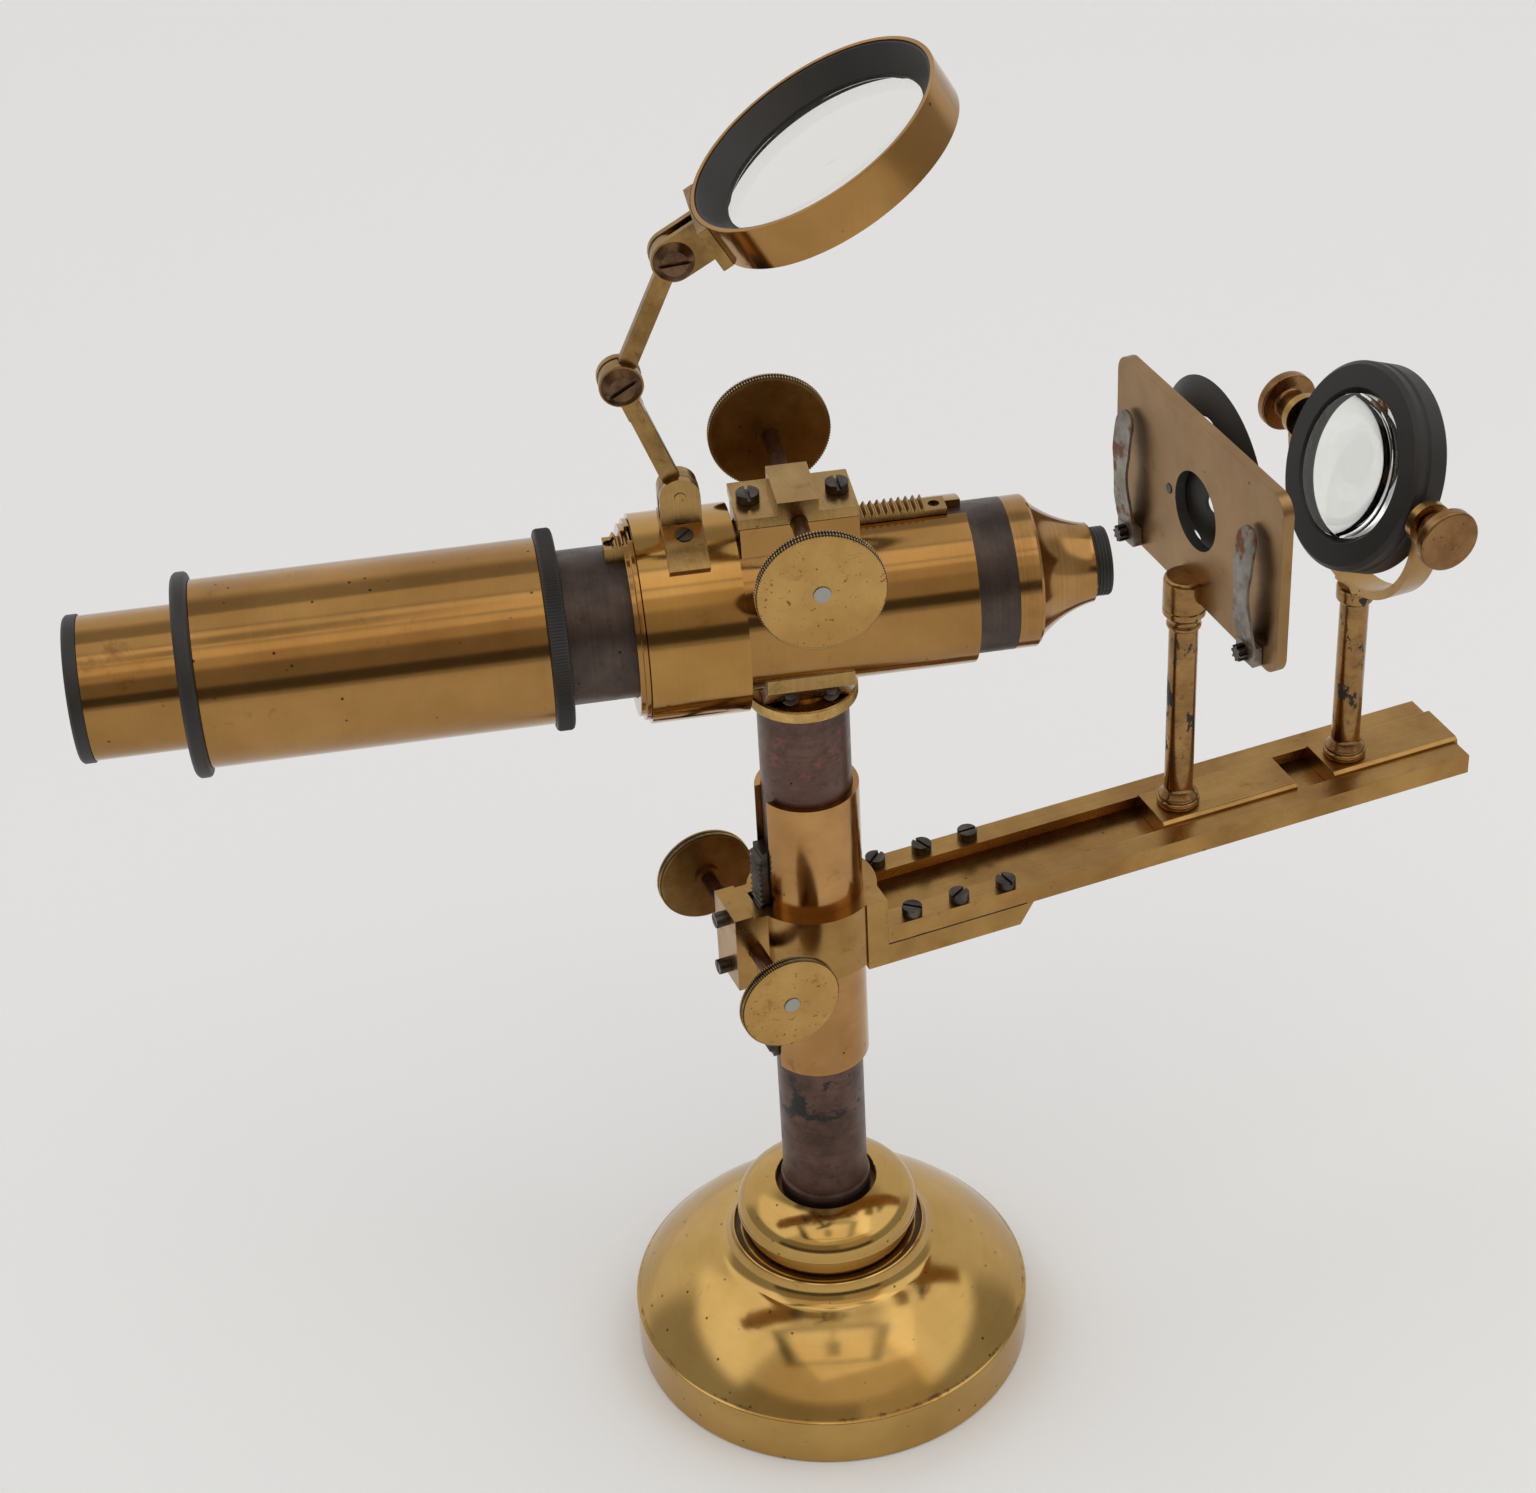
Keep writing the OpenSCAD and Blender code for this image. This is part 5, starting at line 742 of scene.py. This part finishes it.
# Bronze screws, dark from oil: brown-black cones, with a faint shine round the slot.
screw_bronze = worn_metal("dark_screw_bronze", "#735942", "#533e2f", "#2e221b", 0.3, drift_mm=4,
                          stain_share=0.6, pits=0.4, pit_mm=0.8)
filed("link_lower", 0.25, "lower_arm", "lower_link", arm_brass)
filed("elbow_screw", 0.12, "elbow_joint_screw", "lower_link", screw_bronze, 1)
filed("link_upper", 0.25, "upper_arm", "upper_link", arm_brass)
filed("loupe_holder", 0.25, "ring_holder", "loupe", arm_brass)
filed("top_screw", 0.12, "top_joint_screw", "loupe", screw_bronze, 1)

# The magnifier. A thin brass ring holds a thin lens between two black rings.
# The glass bends little, so the table behind it shows nearly unchanged.
filed("loupe_ring", 0.2, "magnifier_ring", "loupe", body_brass)
filed("loupe_cell", 0.12, "magnifier_cell", "loupe", lacquer)
glazed("loupe_lens", ground_glass("thin_magnifier_glass", "#fbfbf9", 1.12))

# The stage. A brass slider in the groove of the rail, a turned post, and an upright brass plate
# with a round hole, soldered to the flattened head of the post.
filed("stage_slider", 0.2, "stage_slide", "stage", planed_brass)
# Turned brass whose lacquer has gone: orange-brown, with black spots of tarnish.
post_brass = worn_metal("pitted_post_brass", "#a5804f", "#886540", "#3b281a", 0.18, drift_mm=10, line_mm=0.4,
                        stain_share=0.7, pits=1.0, pit_mm=1.8)
tarnished(post_brass, "#302c29", 0.5, ring_mask(0, 400, 168, 228, 8), 4.2, 1.06, 1.1, (1, 1, 0.45))
post_r, foot_r, foot_z = 4.2, 6.2, 162.02
foot_pin_r, foot_pin_height = 2.6, 3.8


def post(top):
    """Outline of a rail post: its spigot, the moulding of its foot, and its shaft up to top."""
    outline = [(0, foot_z - foot_pin_height), (foot_pin_r, foot_z - foot_pin_height), (foot_pin_r, foot_z)]
    outline += [(foot_r - 0.4, foot_z)]
    outline += arc((foot_r - 0.1, foot_z + 0.2), (foot_r - 0.1, foot_z + 1.9), -0.2, 5)
    outline += arc((foot_r - 0.45, foot_z + 2.2), (foot_r - 0.9, foot_z + 3.8), -0.25, 5)
    outline += arc((foot_r - 1.1, foot_z + 4.1), (post_r, foot_z + 7), 0.35, 8)
    return outline + [(post_r, top)]


def sawn(bm, place, away):
    """Saws a mesh off flat at a place in mm, on the side that away points to, and closes it."""
    everything = bm.verts[:] + bm.edges[:] + bm.faces[:]
    cut = bmesh.ops.bisect_plane(bm, geom=everything, plane_co=Vector(place) * MM, plane_no=away,
                                 clear_outer=True)
    bmesh.ops.contextual_create(bm, geom=[e for e in cut["geom_cut"] if isinstance(e, bmesh.types.BMEdge)])
    bmesh.ops.recalc_face_normals(bm, faces=bm.faces)
    return bm


stage_x, head_z, plate_x0, plate_z0, head_r = 116.3, 223.0, 118.0, 232.98, foot_r
stage_low = post(head_z) + arc((post_r + 0.5, head_z + 0.3), (post_r + 0.5, head_z + 1.9), -0.3, 5)
stage_low += arc((post_r + 0.3, head_z + 2.3), (head_r - 0.1, head_z + 4.9), 0.45, 6)
stage_low += [(head_r, head_z + 5.1), (head_r, head_z + 6.6), (head_r - 0.25, head_z + 6.9)]
stage_low += [(head_r, head_z + 7.2), (head_r, plate_z0), (0, plate_z0)]
stage_top = [(0, plate_z0), (head_r, plate_z0), (head_r, head_z + 15.4)]
stage_top += arc((head_r - 0.1, head_z + 15.8), (head_r - 1.3, head_z + 17), -0.3, 6) + [(0, head_z + 17.5)]
flat_head = sawn(turned(stage_top, 72), (plate_x0 - stage_x, 0, 0), (1, 0, 0))
finished(joined([turned(stage_low, 72), flat_head]), "stage_pillar", "stage", post_brass,
         ["stage_post"], Matrix.Translation((stage_x * MM, 0, 0)))
# Rolled brass, dulled all over: a flat grey-brown with hardly a reflection.
plate_brass = worn_metal("dull_plate_brass", "#9a7a52", "#8a6b46", "#4f3a25", 0.3, drift_mm=26,
                         stain_share=0.3)
plate = filed("stage_plate", 0.35, "stage_plate_brass", "stage", plate_brass)
# The wall of its round hole is blackened.
hole_y, hole_z, hole_reach = -1.2, 260.8, 12.5
plate.data.materials.append(lacquer)
for face in plate.data.polygons:
    off_axis = math.hypot(face.center.y - hole_y * MM, face.center.z - hole_z * MM)
    if abs(face.normal.x) < 0.5 and off_axis < hole_reach * MM:
        face.material_index = 1
filed("clip_screws", 0.08, "clip_thumbscrews", "stage", oiled_steel, 1)
filed("wheel_pivot", 0.15, "wheel_screw", "stage", oiled_steel)

# The wheel of diaphragms. A thin dished brass disc, blackened with the same lacquer, with five
# holes of different sizes.
filed("diaphragm_wheel", 0.1, "dished_wheel", "diaphragm", lacquer)

# The stage clips. Two bowed strips of spring steel, rusty and bare, each held down by a toothed
# thumbscrew that it swings on.

# Bare steel: light grey and satin where it's clean, brown-red and matt where it has rusted.
rusty_steel = worn_metal("rusty_spring_steel", "#9a968c", "#7b776f", "#7d5138", 0.42, drift_mm=9,
                         stain_share=0.8, pits=1.2, pit_mm=1.0)
tarnished(rusty_steel, "#7f5540", 0.7, everywhere, 11, 0.54, 0.62)
for side in ("near", "far"):
    filed("stage_clip_" + side, 0.12, side + "_clip_steel", side + "_clip", rusty_steel)

# The condenser. A second slider and post carry a half-round brass fork, and a black cell with a
# thick lens tilts between two brass knobs in the ears of the fork.
filed("condenser_slider", 0.2, "condenser_slide", "condenser_stand", planed_brass)
cond_x, cell_z, cell_tilt = 172.1, 259.8, math.radians(21.3)
cap_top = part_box("condenser_post")[1].z / MM
cap_z, cap_r = cap_top - 5.6, post_r + 1.3
cond_outline = post(cap_z) + arc((post_r + 0.1, cap_z + 0.1), (cap_r, cap_z + 1.4), -0.25, 6)
cond_outline += [(cap_r, cap_top - 0.9)] + arc((cap_r, cap_top - 0.8), (cap_r - 0.8, cap_top), -0.25, 5)
finished(turned(cond_outline + [(0, cap_top)], 72), "condenser_pillar", "condenser_stand",
         post_brass, ["condenser_post"], Matrix.Translation((cond_x * MM, 0, 0)))
filed("condenser_fork", 0.25, "half_round_fork", "condenser_stand", cast_brass)
in_cell = Matrix.Translation((cond_x * MM, 0, cell_z * MM)) @ Matrix.Rotation(cell_tilt, 4, "Y")
filed("cell_front", 0.3, "cell_front_ring", "condenser_cell", lacquer)
filed("cell_back", 0.2, "cell_back_ring", "condenser_cell", lacquer)

# The condenser's lens. Thick crown glass, bulging at the back and nearly flat in front, whose
# ground edge is black.
glass_r, edge_r, front_x, seat_x, back_x, front_cap, back_cap = 20.3, 22.96, -5.6, -2.56, 4.36, 1.6, 7.0
lens_outline = [(0, front_x - front_cap)] + arc((0.2, front_x - front_cap), (glass_r, front_x), -0.4, 20)
lens_outline += [(glass_r, seat_x), (edge_r, seat_x), (edge_r, back_x)]
lens_outline += arc((glass_r, back_x), (0.2, back_x + back_cap), -1.86, 30) + [(0, back_x + back_cap)]
lens_shape = turned(lens_outline, 128)
for face in lens_shape.faces:
    middle = face.calc_center_median() / MM
    face.material_index = int(math.hypot(middle.x, middle.y) > edge_r - 0.06)
thick_lens = finished(lens_shape, "thick_condenser_lens", "condenser_cell", clear_glass,
                      ["condenser_lens"], in_cell @ Matrix.Rotation(math.radians(90), 4, "Y"))
thick_lens.data.materials.append(lacquer)

# The condenser's knobs. Two turned brass knobs screw into the ears of the fork and let the cell
# tilt between them.

# Turned brass, brown from fingers: a low, reddish gleam.
tilt_brass = worn_metal("turned_tilt_brass", "#957048", "#7c5a3a", "#432b1c", 0.26, drift_mm=8,
                        stain_share=0.5, pits=0.7, pit_mm=1.0)
pivot_r, pivot_y, waist_r, ear_y = 2, 28, 4.2, 35.04
grip_y0, grip_y1, grip_r = 41.4, 44.8, 8.9
tilt_outline = [(0, pivot_y), (pivot_r, pivot_y), (pivot_r, ear_y), (waist_r - 0.4, ear_y)]
tilt_outline += [(waist_r, ear_y + 0.36), (waist_r, grip_y0 - 1.8)]
tilt_outline += arc((waist_r + 0.1, grip_y0 - 1), (waist_r + 1.4, grip_y0), 0.4, 5)
tilt_outline += [(grip_r - 0.6, grip_y0)]
tilt_outline += arc((grip_r - 0.4, grip_y0 + 0.05), (grip_r, grip_y0 + 0.5), -0.08, 3)
tilt_outline += [(grip_r, grip_y1 - 0.9)] + arc((grip_r, grip_y1 - 0.7), (grip_r - 0.9, grip_y1), -0.2, 5)
tilt_outline += [(0, grip_y1)]
finished(back_to_back(turned(tilt_outline, 96), turned(tilt_outline, 96)), "tilt_knobs", "condenser_cell",
         tilt_brass, ["trunnion_knobs"], in_cell)
